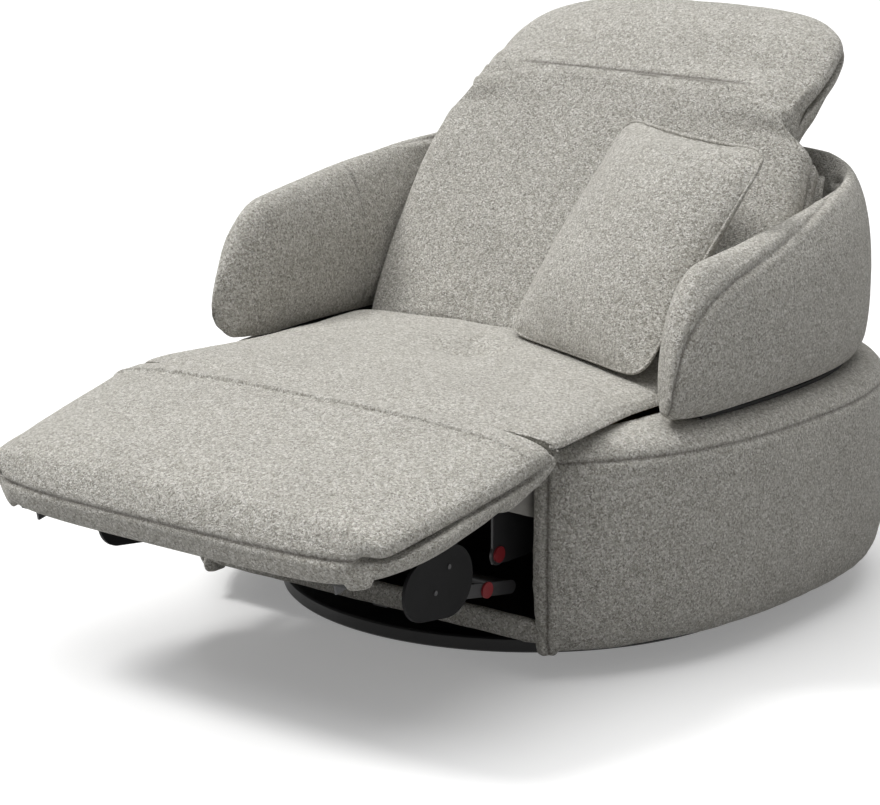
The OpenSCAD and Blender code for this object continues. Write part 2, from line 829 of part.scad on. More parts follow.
// Carriage
module plate_outline() {
    difference() {
        union() {
            polygon([[plate_front_y, plate_low_z], [leg_y, plate_low_z],
                [leg_y, shoe_top_z], [plate_rear_y, shoe_top_z],
                [plate_rear_y, plate_top_z], [knee[0], plate_top_z],
                [knee[0], plate_low_z + plate_t]]);
            strip2d(leg_axis, knee, arm_half);
            disc2d(knee, arm_half);
            disc2d(leg_axis, eye_r);
            disc2d(bush_lobe, bush_lobe_r);
            translate([back_axis_y - back_neck_half, plate_top_z - over])
                square([2 * back_neck_half, back_axis_z - plate_top_z + over]);
            disc2d(back_axis, back_eye_r);
        }
        disc2d(leg_axis, pin_r + pin_gap);
        disc2d(back_axis, pin_r + pin_gap);
    }
}
module side_plate(s) {
    color("#232426") scale([s, 1, 1]) {
        side_slab(plate_x, plate_t) plate_outline();
        for (y = [leg_y, plate_rear_y - shoe_len]) difference() {
            translate([rail_x - rail_w / 2 - shoe_gap - shoe_lip, y, floor_z + shoe_gap])
                cube([plate_x + plate_t - rail_x + rail_w / 2 + shoe_gap + shoe_lip,
                    shoe_len, shoe_top_z - floor_z - shoe_gap]);
            translate([rail_x - rail_w / 2 - shoe_gap, y - over, floor_z])
                cube([rail_w + 2 * shoe_gap, shoe_len + 2 * over, rail_h + shoe_gap]);
        }
    }
}
module side_plate_l() {
    mirror([1, 0, 0]) side_plate(1);
}
module side_plate_r() {
    side_plate(1);
}
module cross_tubes() {
    color("#232426") for (p = [front_tube, rear_tube]) bar_x(p, tube_r, -plate_x, plate_x);
}
module seat_frame() {
    w = frame_half;
    l = frame_rear - frame_front;
    color("#b99868") translate([0, 0, plate_top_z])
        linear_extrude(seat_bottom_z - plate_top_z) difference() {
            translate([-w, frame_front]) square([2 * w, l]);
            translate([-w + rail_side, frame_front + rail_end])
                square([2 * (w - rail_side), l - 2 * rail_end]);
        }
}
module seat_webbing() {
    w = frame_half - rail_side;
    l = frame_rear - frame_front - 2 * rail_end;
    z = seat_bottom_z - web_drop - web_t;
    color("#1f2022") {
        for (i = [0:web_n - 1]) {
            x = mix(-w, w, (i + 1 / 2) / web_n) - web_w / 2;
            translate([x, frame_front + rail_end, z]) cube([web_w, l, web_t]);
            y = frame_front + rail_end + l * (i + 1 / 2) / web_n - web_w / 2;
            translate([-w, y, z - web_t / 2]) cube([2 * w, web_w, web_t]);
        }
    }
}
// The seat's side view: a rounded rear end, a flat top and a hollow front
// that follows the leg rest's round end
seat_lip_a = 52;
seat_flat_a = 90 - leg_slope - leg_fold_a;
function seat_low_r(a) = seat_arc / cos(max(-a - seat_flat_a, 0));
seat_top_pts =
    let (r = seat_back_round, y0 = seat_rear_y, tip = arc_at(leg_axis, seat_arc, seat_lip_a),
        y1 = tip[0] + seat_lip)
    concat([[y0, seat_spine_z], [y0, seat_z - r], [y0 - r * 0.3, seat_z - r * 0.3], [y0 - r, seat_z]],
        [for (i = [1:seat_k]) [mix(y0 - r, y1, i / seat_k), seat_z]],
        [[tip[0], tip[1] + seat_lip / 2]],
        [for (a = [seat_lip_a, 35, 18, 4]) arc_at(leg_axis, seat_arc, a)]);
seat_low_pts =
    let (y0 = seat_rear_y, r = seat_back_round, y1 = arc_at(leg_axis, seat_low_r(-30), -30)[0] + seat_chin)
    concat([[y0, seat_spine_z - r / 4], [y0, seat_spine_z - r], [y0, seat_bottom_z + r], [y0 - r, seat_bottom_z]],
        [for (i = [1:seat_k]) [mix(y0 - r, y1, i / seat_k), seat_bottom_z]],
        [[y1 - seat_chin * 0.4, seat_bottom_z + 0.15 * r]],
        [for (a = [-30, -21, -12, -4]) arc_at(leg_axis, seat_low_r(a), a)]);
function seat_side(y) = let (t = (-y - seat_front_start) / (seat_front_end - seat_front_start))
    mix(seat_w, seat_front_w, min(max(t, 0), 1));
module seat_cushion() {
    front = arc_at(leg_axis, seat_arc, 0)[0];
    color(fabric_light) loaf(seat_top_pts, seat_low_pts,
        [for (p = seat_top_pts) [min(max(p[0], front + seat_chin), seat_rear_y - seat_back_round / 2), seat_spine_z]],
        [for (p = seat_top_pts) seat_side(p[0])], [for (p = seat_low_pts) seat_low_w],
        seat_n, seat_power, [0, tuft_y, tuft_d, tuft_r]);
}
module seat_gussets() {
    color("#a9a8a4") both_sides() side_slab(gusset_x, gusset_t)
        polygon([[gusset_front, seat_bottom_z + gusset_rise],
            [gusset_front, seat_bottom_z - gusset_drop_front],
            [gusset_rear, seat_bottom_z - gusset_drop_rear],
            [gusset_rear, seat_bottom_z + gusset_rise]]);
}
module pin_pair(p, r) {
    both_sides() {
        bar_x(p, r, plate_x - pin_head_t, bracket_x + bracket_t);
        bar_x(p, pin_head_r, plate_x - pin_head_t, plate_x);
    }
}
module leg_pins() {
    color("#8d9094") pin_pair(leg_axis, pin_r);
}
module back_pins() {
    color("#8d9094") pin_pair(back_axis, pin_r);
}
module plate_bushes() {
    color("#b3262b") both_sides()
        bar_x(bush_lobe, bush_r, plate_x + plate_t, plate_x + plate_t + bush_t);
}
module leg_motor() {
    z = leg_motor_z;
    color("#1d1e20") difference() {
        union() {
            translate([0, leg_motor_rear, z]) rotate([90, 0, 0])
                cylinder(r = motor_tube_r, h = leg_motor_rear - leg_motor_front, $fn = small_n);
            translate([-motor_box_w / 2, leg_motor_rear, z - motor_box_h / 2])
                cube([motor_box_w, motor_box_l, motor_box_h]);
            translate([-motor_hang_w / 2, rear_tube[0] - tube_r, z])
                cube([motor_hang_w, 2 * tube_r, rear_tube[1] - tube_r - z]);
        }
        translate([0, leg_motor_rear + motor_tube_r, z]) rotate([90, 0, 0])
            cylinder(r = rod_r + motor_gap,
                h = leg_motor_rear + motor_tube_r - leg_motor_front + over, $fn = small_n);
    }
}
module leg_rod() {
    z = leg_motor_z;
    color("#c9cbcd") {
        translate([0, leg_rod_rear, z]) rotate([90, 0, 0])
            cylinder(r = rod_r, h = leg_rod_rear - leg_rod_front, $fn = small_n);
        translate([-fork_w / 2, leg_rod_front - fork_t / 2, z - fork_w / 2])
            cube([fork_w, fork_t, fork_w]);
    }
}
module back_motor() {
    z = back_motor_z;
    color("#1d1e20") difference() {
        union() {
            translate([0, back_motor_rear, z]) rotate([90, 0, 0])
                cylinder(r = back_motor_r, h = back_motor_rear - back_motor_front, $fn = small_n);
            translate([-back_box_w / 2, back_motor_front - back_box_l, z + back_box_top - back_box_h])
                cube([back_box_w, back_box_l, back_box_h]);
            translate([-motor_hang_w / 2, front_tube[0] + tube_r, front_tube[1] - tube_r])
                cube([motor_hang_w, back_motor_front - back_box_l - front_tube[0] - tube_r, 2 * tube_r]);
        }
        translate([0, back_motor_rear + over, z]) rotate([90, 0, 0])
            cylinder(r = rod_r + motor_gap, h = back_motor_rear - back_motor_front, $fn = small_n);
    }
}
module back_rod() {
    z = back_motor_z;
    front = lever_end[0] - lever_half - back_rod_gap;
    color("#c9cbcd") translate([0, front, z]) rotate([90, 0, 0])
        cylinder(r = rod_r, h = back_rod_l, $fn = small_n);
}

// Leg rest
module leg_board() {
    color("#b99868") leg_place()
        translate([-leg_board_w, -leg_len + leg_board_front_gap, -leg_r])
            cube([2 * leg_board_w, leg_len - leg_board_front_gap - leg_board_rear, leg_board_t]);
}
leg_low = leg_r - leg_board_t;
leg_top_pts = concat(
    [for (a = [4, 30, 60, 90]) arc_at([0, 0], leg_r, a)],
    [for (i = [1:6]) let (t = i / 6)
        [-t * (leg_len - 2 * leg_nose), leg_r + leg_crown * sin(180 * t)]],
    [[-leg_len + leg_nose, leg_r * 0.94], [-leg_len + leg_nose * 0.45, leg_r * 0.66],
        [-leg_len + leg_nose * 0.12, leg_r * 0.24], [-leg_len, -leg_r * 0.24]]);
leg_low_pts = concat(
    [for (a = [-4, -30, -60, -90]) arc_at([0, 0], leg_r, a)],
    [[-leg_board_rear + leg_board_t, -leg_r], [-leg_board_rear + seat_gap, -leg_low + seat_gap]],
    [for (i = [1:4]) let (t = i / 4) [mix(-leg_board_rear, -leg_len + 2 * leg_nose, t), -leg_low + seat_gap]],
    [[-leg_len + leg_nose, -leg_low], [-leg_len + leg_nose * 0.6, -leg_low],
        [-leg_len + leg_nose * 0.2, -leg_low * 0.92], [-leg_len + leg_nose * 0.03, -leg_low * 0.6]]);
function leg_side(y) = leg_w
    - leg_corner_w * pow(max((-y - leg_len + leg_corner) / leg_corner, 0), leg_corner_power);
module leg_pad() {
    anchors = [for (i = [0:len(leg_top_pts) - 1])
        [min(max(leg_top_pts[i][0], -leg_len + leg_nose), leg_r / 4),
            i < 4 ? 0 : -leg_r * 0.2]];
    color(fabric_light) leg_place() difference() {
        loaf(leg_top_pts, leg_low_pts, anchors,
            [for (p = leg_top_pts) leg_side(p[0])], [for (p = leg_top_pts) leg_side(p[0])],
            leg_n, leg_power);
        both_sides() translate([slot_in, -slot_reach, -slot_reach])
            cube([slot_out - slot_in, 2 * slot_reach, slot_reach + slot_up]);
    }
}
// A place of the side view, seen in the leg rest's frame
function leg_local(p) = turned(p - leg_axis, [0, 0], -leg_slope);
module leg_bracket(s) {
    p = leg_local(link_pivot);
    color("#232426") scale([s, 1, 1]) leg_place() {
        side_slab(bracket_x, bracket_t) difference() {
            union() {
                disc2d([0, 0], eye_r);
                strip2d([0, 0], p, bracket_half);
                disc2d(p, bracket_lobe_r);
                disc2d(leg_local(cover_screw_b), boss_r + plate_t);
                translate([-foot_front, -leg_r - foot_h]) square([foot_front - foot_rear, foot_h]);
            }
            disc2d([0, 0], pin_r + pin_gap);
        }
        bar_x(p, pin_r, link_x - pin_proud, bracket_x + bracket_t / 2);
    }
}
module leg_bracket_l() {
    mirror([1, 0, 0]) leg_bracket(1);
}
module leg_bracket_r() {
    leg_bracket(1);
}
module leg_tube() {
    color("#232426") leg_place()
        bar_x([-leg_tube_y, -leg_r - leg_tube_r - leg_tube_drop], leg_tube_r, -bracket_x, bracket_x);
}
module cover_plate() {
    color("#202123") side_slab(cover_x, cover_t) hull() {
        translate(cover_a) circle(r = cover_a_r, $fn = round_n);
        translate(cover_b) circle(r = cover_b_r, $fn = round_n);
    }
}
module cover_plate_l() {
    mirror([1, 0, 0]) cover_plate();
}
module cover_plate_r() {
    cover_plate();
}
module cover_screws() {
    color("#4a4c50") both_sides() for (p = [cover_screw_a, cover_screw_b]) {
        bar_x(p, boss_r, bracket_x + bracket_t, cover_x);
        bar_x(p, screw_r, cover_x + cover_t, cover_x + cover_t + screw_head_t);
    }
}
module drive_links() {
    color("#232426") {
        both_sides() side_slab(link_x, link_t) difference() {
            union() {
                strip2d(link_pivot, link_end, link_half);
                disc2d(link_pivot, link_half);
                disc2d(link_end, link_half);
            }
            disc2d(link_pivot, pin_r + pin_gap);
        }
        bar_x(link_end, link_tube_r, -link_x, link_x);
    }
}
module link_bushes() {
    color("#b3262b") both_sides()
        bar_x(link_bush, bush_r, link_x + link_t, link_x + link_t + bush_t);
}

// Back, drawn in its own frame: -y is its front, z runs up along it
module back_frame() {
    w = back_frame_w;
    h = back_frame_high - back_frame_low;
    color("#232426") back_place() {
        translate([0, back_frame_n + back_frame_t, back_frame_low]) rotate([90, 0, 0])
            linear_extrude(back_frame_t) difference() {
                translate([-w, 0]) square([2 * w, h]);
                translate([-w + back_frame_rail, back_frame_rail])
                    square([2 * (w - back_frame_rail), h - 2 * back_frame_rail]);
            }
        both_sides() side_slab(bracket_x, bracket_t) difference() {
            union() {
                disc2d([0, 0], eye_r);
                strip2d([0, 0], [back_foot_n, back_eye_up], arm_half);
                translate([back_foot_n - arm_half, back_eye_up - arm_half])
                    square([back_frame_n + back_frame_t / 2 - back_foot_n + arm_half, 2 * arm_half]);
            }
            disc2d([0, 0], pin_r + pin_gap);
        }
        both_sides() side_slab(head_arm_x, plate_t) difference() {
            union() {
                strip2d([back_frame_n + back_frame_t / 2, back_frame_high - head_arm_half],
                    head_axis_local, head_arm_half);
                disc2d(head_axis_local, head_eye_r);
                disc2d([back_frame_n + back_frame_t / 2, back_frame_high - head_arm_half],
                    back_frame_t / 2);
            }
            disc2d(head_axis_local, head_pin_r + pin_gap);
        }
    }
}
module back_webbing() {
    w = back_frame_w - back_frame_rail;
    h = back_frame_high - back_frame_low - 2 * back_frame_rail;
    color("#1f2022") back_place() for (i = [0:web_n - 1])
        translate([-w, back_frame_n + back_frame_t / 2,
            back_frame_low + back_frame_rail + h * (i + 1 / 2) / web_n - web_w / 2])
            cube([2 * w, web_t, web_w]);
}
back_front_pts = concat([[0, -back_r * 0.995]],
    [for (s = back_front_shares) [-s[0] * back_r, s[1] * back_r]],
    [for (s = back_crown_shares) [-s[0] * back_r, s[1] * back_len]],
    [let (p = arc_at(head_axis_local, back_arc, 182)) [p[0] - back_lip, p[1]]],
    [for (a = [184, 204, 224, 244, 262]) arc_at(head_axis_local, back_arc, a)]);
back_rear_pts = concat([[back_r * 0.03, -back_r * 0.995]],
    [for (s = back_low_rear_shares) [-s[0] * back_r, s[1] * back_r]],
    [for (s = back_rear_shares) [s[0] * back_rear, s[1] * back_len]],
    [for (a = [296, 285, 273]) arc_at(head_axis_local, back_arc, a)]);
function back_side(u) = back_w - back_taper
    * pow(max((u / back_len - back_taper_start_share) / (1 - back_taper_start_share), 0), 2);
module back_cushion() {
    anchors = [for (i = [0:len(back_front_pts) - 1]) let (p = back_front_pts[i], q = back_rear_pts[i])
        [(p[0] + q[0]) / 2 , min(max((p[1] + q[1]) / 2, -back_r / 3), back_len * 0.84)]];
    color(fabric_light) back_place() difference() {
        loaf(back_rear_pts, back_front_pts, anchors,
            [for (p = anchors) back_side(p[1])], [for (p = anchors) back_side(p[1])],
            back_n, back_power);
        both_sides() translate([slot_in, -back_slot_front, -back_r - over])
            cube([slot_out - slot_in, back_slot_front + back_slot_rear, back_slot_up + back_r + over]);
    }
}
module back_cover() {
    n = back_frame_n + back_frame_t + back_cover_gap;
    u0 = back_frame_low;
    u1 = back_frame_high;
    color(fabric) back_place() translate([0, n + back_cover_t, 0]) rotate([90, 0, 0])
        linear_extrude(back_cover_t)
            polygon(concat([for (s = back_cover_shares) [s[0] * back_cover_w, mix(u0, u1, s[1])]],
                [for (i = [len(back_cover_shares) - 1:-1:0]) let (s = back_cover_shares[i])
                    [-s[0] * back_cover_w, mix(u0, u1, s[1])]]));
}
function back_local(p) = turned(p - back_axis, [0, 0], back_lean);
module back_lever() {
    p = back_local(lever_end);
    top = [back_frame_n + back_frame_t / 2, back_frame_low];
    color("#232426") back_place() side_slab(-lever_t / 2, lever_t) {
        strip2d([top[0], top[1] - back_frame_t], p, lever_half);
        disc2d(p, lever_half);
        translate([back_frame_n, back_frame_low - 2 * back_frame_t]) square([back_frame_t, 2 * back_frame_t]);
    }
}
module head_pins() {
    color("#8d9094") back_place() both_sides() {
        bar_x(head_axis_local, head_pin_r, head_arm_x - pin_head_t, head_arm_x + 2 * plate_t + pin_head_t);
        bar_x(head_axis_local, head_pin_head_r, head_arm_x - pin_head_t, head_arm_x);
    }
}

// Head
head_bracket_x = head_arm_x + plate_t + pin_head_t / 2;
module head_board() {
    color("#232426") head_place() {
        translate([-head_board_w, head_board_n - head_board_t, head_board_low])
            cube([2 * head_board_w, head_board_t, head_board_high - head_board_low]);
        both_sides() side_slab(head_bracket_x, plate_t) difference() {
            union() {
                disc2d([0, 0], head_eye_r);
                strip2d([0, 0], [head_board_n - head_board_t, head_bracket_up], head_arm_half);
                translate([head_board_n - head_board_t - head_arm_half, head_bracket_up - head_arm_half])
                    square([head_arm_half + head_board_t / 2, 2 * head_arm_half]);
            }
            disc2d([0, 0], head_pin_r + pin_gap);
        }
    }
}
head_front_pts = concat([for (a = [266, 240, 210, 180]) arc_at([0, 0], head_r, a)],
    [for (s = head_front_shares) [-s[0] * head_r, s[1] * head_len]], [[0, head_len]]);
head_rear_pts = concat([for (a = [274, 300, 325, 345]) arc_at([0, 0], head_r * (a > 340 ? 0.8 : 1), a)],
    [for (s = head_rear_shares) [-s[0] * head_r, s[1] * head_len]], [[over, head_len * 0.998]]);
function head_side(u) = head_w * (u < head_low ? 1
    : pow(1 - pow(min((u - head_low) / (head_len - head_low), 0.985), head_plan_power), 1 / head_plan_power));
module head_cushion() {
    anchors = [for (i = [0:len(head_front_pts) - 1]) let (p = head_front_pts[i], q = head_rear_pts[i])
        [(p[0] + q[0]) / 2, min(max((p[1] + q[1]) / 2, -head_r / 3), head_len * 0.93)]];
    color(fabric_light) head_place() difference() {
        loaf(head_rear_pts, head_front_pts, anchors,
            [for (p = anchors) head_side(p[1])], [for (p = anchors) head_side(p[1])],
            head_n, head_power);
        both_sides() translate([head_arm_x - slot_gap, -slot_up, -head_r - over])
            cube([head_bracket_x + plate_t - head_arm_x + 2 * slot_gap, head_r + slot_up + over,
                head_slot_up + head_r + over]);
    }
}

// Throw pillow, leaning in the corner
pillow_pts = [for (i = [0:pillow_k]) let (v = station(i, pillow_k))
    [pillow_edge + (pillow_t - pillow_edge) * pow(1 - pow(v, 4), 0.6), (v + 1) / 2 * pillow_h]];
module throw_pillow() {
    side = [for (p = pillow_pts) let (v = 2 * p[1] / pillow_h - 1)
        pillow_w / 2 * (1 - pillow_pinch_share * (1 - v * v))];
    color(fabric_light) translate([pillow_x, pillow_y, seat_z + pillow_lift]) rotate([0, 0, -pillow_turn])
        rotate([-pillow_lean, 0, 0]) translate([pillow_w / 2, 0, 0])
            loaf([for (p = pillow_pts) [p[0], p[1]]], [for (p = pillow_pts) [-p[0], p[1]]],
                [for (p = pillow_pts) [0, p[1]]], side, side, pillow_n, 3);
}

floor_pad();
base_disc();
lower_race();
swivel_balls();
centre_pin();
race_screws();
upper_race();
cross_frame();
bottom_board();
side_panel_l();
side_panel_r();
rear_panel();
front_fascia();
drum_cover();
wrap_spacer();
arm_wrap();
slide_rails();
control_box();
power_inlet();
switch_plate();
button_open();
button_close();
side_plate_l();
side_plate_r();
cross_tubes();
seat_frame();
seat_webbing();
seat_cushion();
seat_gussets();
leg_pins();
back_pins();
plate_bushes();
leg_motor();
back_motor();
leg_rod();
back_rod();
leg_board();
leg_pad();
leg_bracket_l();
leg_bracket_r();
leg_tube();
cover_plate_l();
cover_plate_r();
cover_screws();
drive_links();
link_bushes();
back_frame();
back_webbing();
back_cushion();
back_cover();
back_lever();
head_pins();
head_board();
head_cushion();
throw_pillow();
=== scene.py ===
import bpy
import bmesh
import json
import math
import numpy as np
from mathutils import Matrix, Vector
from mathutils.bvhtree import BVHTree
from mathutils.kdtree import KDTree


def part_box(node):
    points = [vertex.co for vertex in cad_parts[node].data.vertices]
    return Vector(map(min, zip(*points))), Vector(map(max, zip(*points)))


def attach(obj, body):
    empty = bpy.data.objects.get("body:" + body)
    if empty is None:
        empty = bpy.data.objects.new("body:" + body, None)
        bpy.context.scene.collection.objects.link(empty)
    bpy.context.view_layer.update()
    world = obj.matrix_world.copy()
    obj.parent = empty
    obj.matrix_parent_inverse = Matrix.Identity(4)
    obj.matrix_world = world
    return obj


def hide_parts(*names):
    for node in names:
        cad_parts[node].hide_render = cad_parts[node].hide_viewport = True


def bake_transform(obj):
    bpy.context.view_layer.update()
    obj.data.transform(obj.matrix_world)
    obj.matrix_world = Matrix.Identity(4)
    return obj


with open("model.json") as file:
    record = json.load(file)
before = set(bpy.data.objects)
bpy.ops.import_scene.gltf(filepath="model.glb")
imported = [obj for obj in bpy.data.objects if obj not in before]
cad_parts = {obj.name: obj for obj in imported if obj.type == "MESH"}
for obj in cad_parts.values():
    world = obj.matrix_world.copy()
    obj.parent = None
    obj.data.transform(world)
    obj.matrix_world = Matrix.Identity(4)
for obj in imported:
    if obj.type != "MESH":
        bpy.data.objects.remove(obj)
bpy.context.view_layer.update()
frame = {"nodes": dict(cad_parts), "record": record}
scene = bpy.context.scene
# Lengths are in mm and angles in degrees; make and put turn mm into metres
MM = 0.001
R = math.radians


# Curves
SPAN_STEPS = 24


def lengths(p):
    """The length along a line at each of its points."""
    return np.concatenate([[0], np.cumsum(np.linalg.norm(np.diff(p, axis=0), axis=1))])


def at_lengths(p, along, wanted):
    return np.stack([np.interp(wanted, along, p[:, k]) for k in range(p.shape[1])], 1)


def spline(points, n, closed=False):
    """Even samples, by length in the first two columns, of a smooth curve."""
    p = np.array(points, float)
    if closed:
        p = np.vstack([p[-1], p, p[0], p[1]])
    else:
        p = np.vstack([2 * p[0] - p[1], p, 2 * p[-1] - p[-2]])
    out = []
    for i in range(1, len(p) - 2):
        a, b, c, d = p[i - 1], p[i], p[i + 1], p[i + 2]
        t1 = max(np.linalg.norm((b - a)[:2]), 1e-6) ** 0.5
        t2 = max(np.linalg.norm((c - b)[:2]), 1e-6) ** 0.5
        t3 = max(np.linalg.norm((d - c)[:2]), 1e-6) ** 0.5
        m1 = t2 * ((b - a) / t1 - (c - a) / (t1 + t2) + (c - b) / t2)
        m2 = t2 * ((c - b) / t2 - (d - b) / (t2 + t3) + (d - c) / t3)
        for t in np.linspace(0, 1, SPAN_STEPS, endpoint=False):
            h = (2 * t**3 - 3 * t**2 + 1, t**3 - 2 * t**2 + t, -2 * t**3 + 3 * t**2, t**3 - t**2)
            out.append(h[0] * b + h[1] * m1 + h[2] * c + h[3] * m2)
    out.append(p[-2])
    out = np.array(out)
    along = lengths(out[:, :2])
    even = np.linspace(0, along[-1], n + 1 if closed else n)
    if closed:
        even = even[:-1]
    return at_lengths(out, along, even)


def round_off(t, p):
    """Superellipse arch: 1 at t = 0 and 0 at plus or minus 1."""
    return (1 - np.minimum(np.abs(t), 1) ** p) ** (1 / p)


def signed_power(c, e):
    return np.sign(c) * np.abs(c) ** e


def smooth(t):
    t = np.clip(t, 0, 1)
    return t * t * (3 - 2 * t)


def lerp(a, b, t):
    return a + (b - a) * t


def arc_at(c, r, a):
    return (c[0] + r * math.cos(R(a)), c[1] + r * math.sin(R(a)))


def turn(p, c, a):
    """Points turned by a degrees about zero and then moved to c."""
    p = np.array(p, float)
    k, s = math.cos(R(a)), math.sin(R(a))
    return np.stack([c[0] + p[..., 0] * k - p[..., 1] * s, c[1] + p[..., 0] * s + p[..., 1] * k], -1)


def wave(p, size, seed):
    """Smooth, repeatable unevenness of about plus or minus one."""
    p = np.asarray(p) / size
    rng = np.random.RandomState(seed)
    out = np.zeros(len(p))
    for _ in range(7):
        d = rng.normal(size=3)
        d *= rng.uniform(0.6, 1.7) / np.linalg.norm(d)
        out += np.sin(p @ d * 2 * math.pi + rng.uniform(0, 2 * math.pi))
    return out / 3.2


# Meshes
def smooth_faces(me):
    for f in me.polygons:
        f.use_smooth = True


def make(name, verts, faces):
    me = bpy.data.meshes.new(name)
    me.from_pydata([tuple(v) for v in np.asarray(verts) * MM], [], faces)
    me.validate()
    bm = bmesh.new()
    bm.from_mesh(me)
    bmesh.ops.recalc_face_normals(bm, faces=bm.faces)
    bm.to_mesh(me)
    bm.free()
    smooth_faces(me)
    ob = bpy.data.objects.new(name, me)
    scene.collection.objects.link(ob)
    return ob


def skin(name, rings, loop=False):
    """Quads over closed rings of points, with a fan at each end or as a loop of rings."""
    rings = np.asarray(rings, float)
    n, m, _ = rings.shape
    pts = list(rings.reshape(-1, 3))
    faces = []
    for i in range(n if loop else n - 1):
        i2 = (i + 1) % n
        for j in range(m):
            j2 = (j + 1) % m
            faces.append((i * m + j, i * m + j2, i2 * m + j2, i2 * m + j))
    if not loop:
        for i in (0, n - 1):
            pts.append(rings[i].mean(0))
            c = len(pts) - 1
            for j in range(m):
                faces.append((i * m + j, i * m + (j + 1) % m, c))
    return make(name, pts, faces)


def tube(name, path, radius, sides):
    """Cord-like welt along a closed path."""
    p = np.asarray(path, float)
    t = np.roll(p, -1, 0) - np.roll(p, 1, 0)
    t /= np.linalg.norm(t, axis=1)[:, None]
    up = np.array([0.013, 0.021, 1.0])
    rings = []
    for a, d in zip(p, t):
        u = np.cross(d, up)
        if np.linalg.norm(u) < 0.05:
            u = np.cross(d, [1, 0.02, 0])
        u /= np.linalg.norm(u)
        v = np.cross(u, d)
        rings.append([a + radius * (math.cos(b) * u + math.sin(b) * v)
                      for b in np.arange(sides) * 2 * math.pi / sides])
    return skin(name, rings, loop=True)


def coords(ob):
    a = np.empty(len(ob.data.vertices) * 3)
    ob.data.vertices.foreach_get("co", a)
    return a.reshape(-1, 3) / MM


def normals(ob):
    a = np.empty(len(ob.data.vertices) * 3, dtype=np.float32)
    ob.data.vertices.foreach_get("normal", a)
    return a.reshape(-1, 3).astype(float)


def put(ob, p):
    ob.data.vertices.foreach_set("co", (np.asarray(p) * MM).astype(np.float32).ravel())
    ob.data.update()


def baked(ob):
    """The mesh with its modifiers applied, as new data of the object."""
    dg = bpy.context.evaluated_depsgraph_get()
    me = bpy.data.meshes.new_from_object(ob.evaluated_get(dg), depsgraph=dg)
    ob.modifiers.clear()
    old = ob.data
    ob.data = me
    bpy.data.meshes.remove(old)
    smooth_faces(me)


def solid_tree(name):
    me = frame["nodes"][name].data
    co = np.empty(len(me.vertices) * 3)
    me.vertices.foreach_get("co", co)
    return BVHTree.FromPolygons([Vector(v) for v in co.reshape(-1, 3)],
                                [tuple(f.vertices) for f in me.polygons])


def point_tree(points):
    tree = KDTree(len(points))
    for i, q in enumerate(points):
        tree.insert(Vector(q), i)
    tree.balance()
    return tree


def cut_slots(ob, out, across, first, second):
    """Cuts a box and its mirror image out of a piece. Each pair holds the limits in one
    direction: across x, and in the two directions that the function out turns."""
    sides = [(0, 1, 3, 2), (4, 6, 7, 5), (0, 4, 5, 1), (2, 3, 7, 6), (0, 2, 6, 4), (1, 5, 7, 3)]
    for sx in (1, -1):
        corners = [(sx * x, *out((a, b))) for x in across for a in first for b in second]
        box = make("cutter", corners, sides)
        m = ob.modifiers.new("slot", "BOOLEAN")
        m.operation, m.solver, m.object = "DIFFERENCE", "EXACT", box
        baked(ob)
        bpy.data.objects.remove(box)


def remesh(ob, voxel):
    m = ob.modifiers.new("even", "REMESH")
    m.mode, m.voxel_size, m.use_smooth_shade = "VOXEL", voxel * MM, True
    baked(ob)
    m = ob.modifiers.new("soft", "SMOOTH")
    m.factor, m.iterations = 0.5, 4
    baked(ob)


def evened(ob, v, times):
    """A value per vertex, averaged with its neighbours a few times."""
    v = np.array(v, float)
    ends = np.empty(len(ob.data.edges) * 2, dtype=np.int64)
    ob.data.edges.foreach_get("vertices", ends)
    one, two = ends[0::2], ends[1::2]
    degree = np.maximum(np.bincount(ends, minlength=len(v)), 1)
    cols = v.reshape(len(v), -1)
    for _ in range(times):
        for k in range(cols.shape[1]):
            old = cols[:, k].copy()
            total = np.bincount(one, old[two], len(v)) + np.bincount(two, old[one], len(v))
            cols[:, k] = 0.4 * old + 0.6 * total / degree
    return cols.reshape(v.shape)


SIM_FRAMES = 15
SIM_INSET = 3
HELD_FROM = 0.02


def swollen(ob, pressure, hold, stiff):
    """Movement of each vertex, in mm, when a piece is blown up as a cloth cover. The
    function hold says how firmly a point is held, from 0 to 1."""
    rest = coords(ob)
    held = ob.vertex_groups.new(name="held")
    weights = hold(rest)
    for i in np.nonzero(weights > HELD_FROM)[0]:
        held.add([int(i)], float(weights[i]), "REPLACE")
    m = ob.modifiers.new("cloth", "CLOTH")
    s = m.settings
    s.quality = 4
    s.mass = 0.3
    s.tension_stiffness = s.compression_stiffness = stiff
    s.shear_stiffness = 5
    s.bending_stiffness = 0.6
    s.use_pressure = True
    s.uniform_pressure_force = pressure
    s.effector_weights.gravity = 0
    s.vertex_group_mass = "held"
    s.pin_stiffness = 1
    m.point_cache.frame_start = 1
    m.point_cache.frame_end = SIM_FRAMES
    for f in range(1, SIM_FRAMES + 1):
        scene.frame_set(f)
    done = ob.evaluated_get(bpy.context.evaluated_depsgraph_get()).data
    now = np.empty(len(done.vertices) * 3)
    done.vertices.foreach_get("co", now)
    return now.reshape(-1, 3) / MM - rest


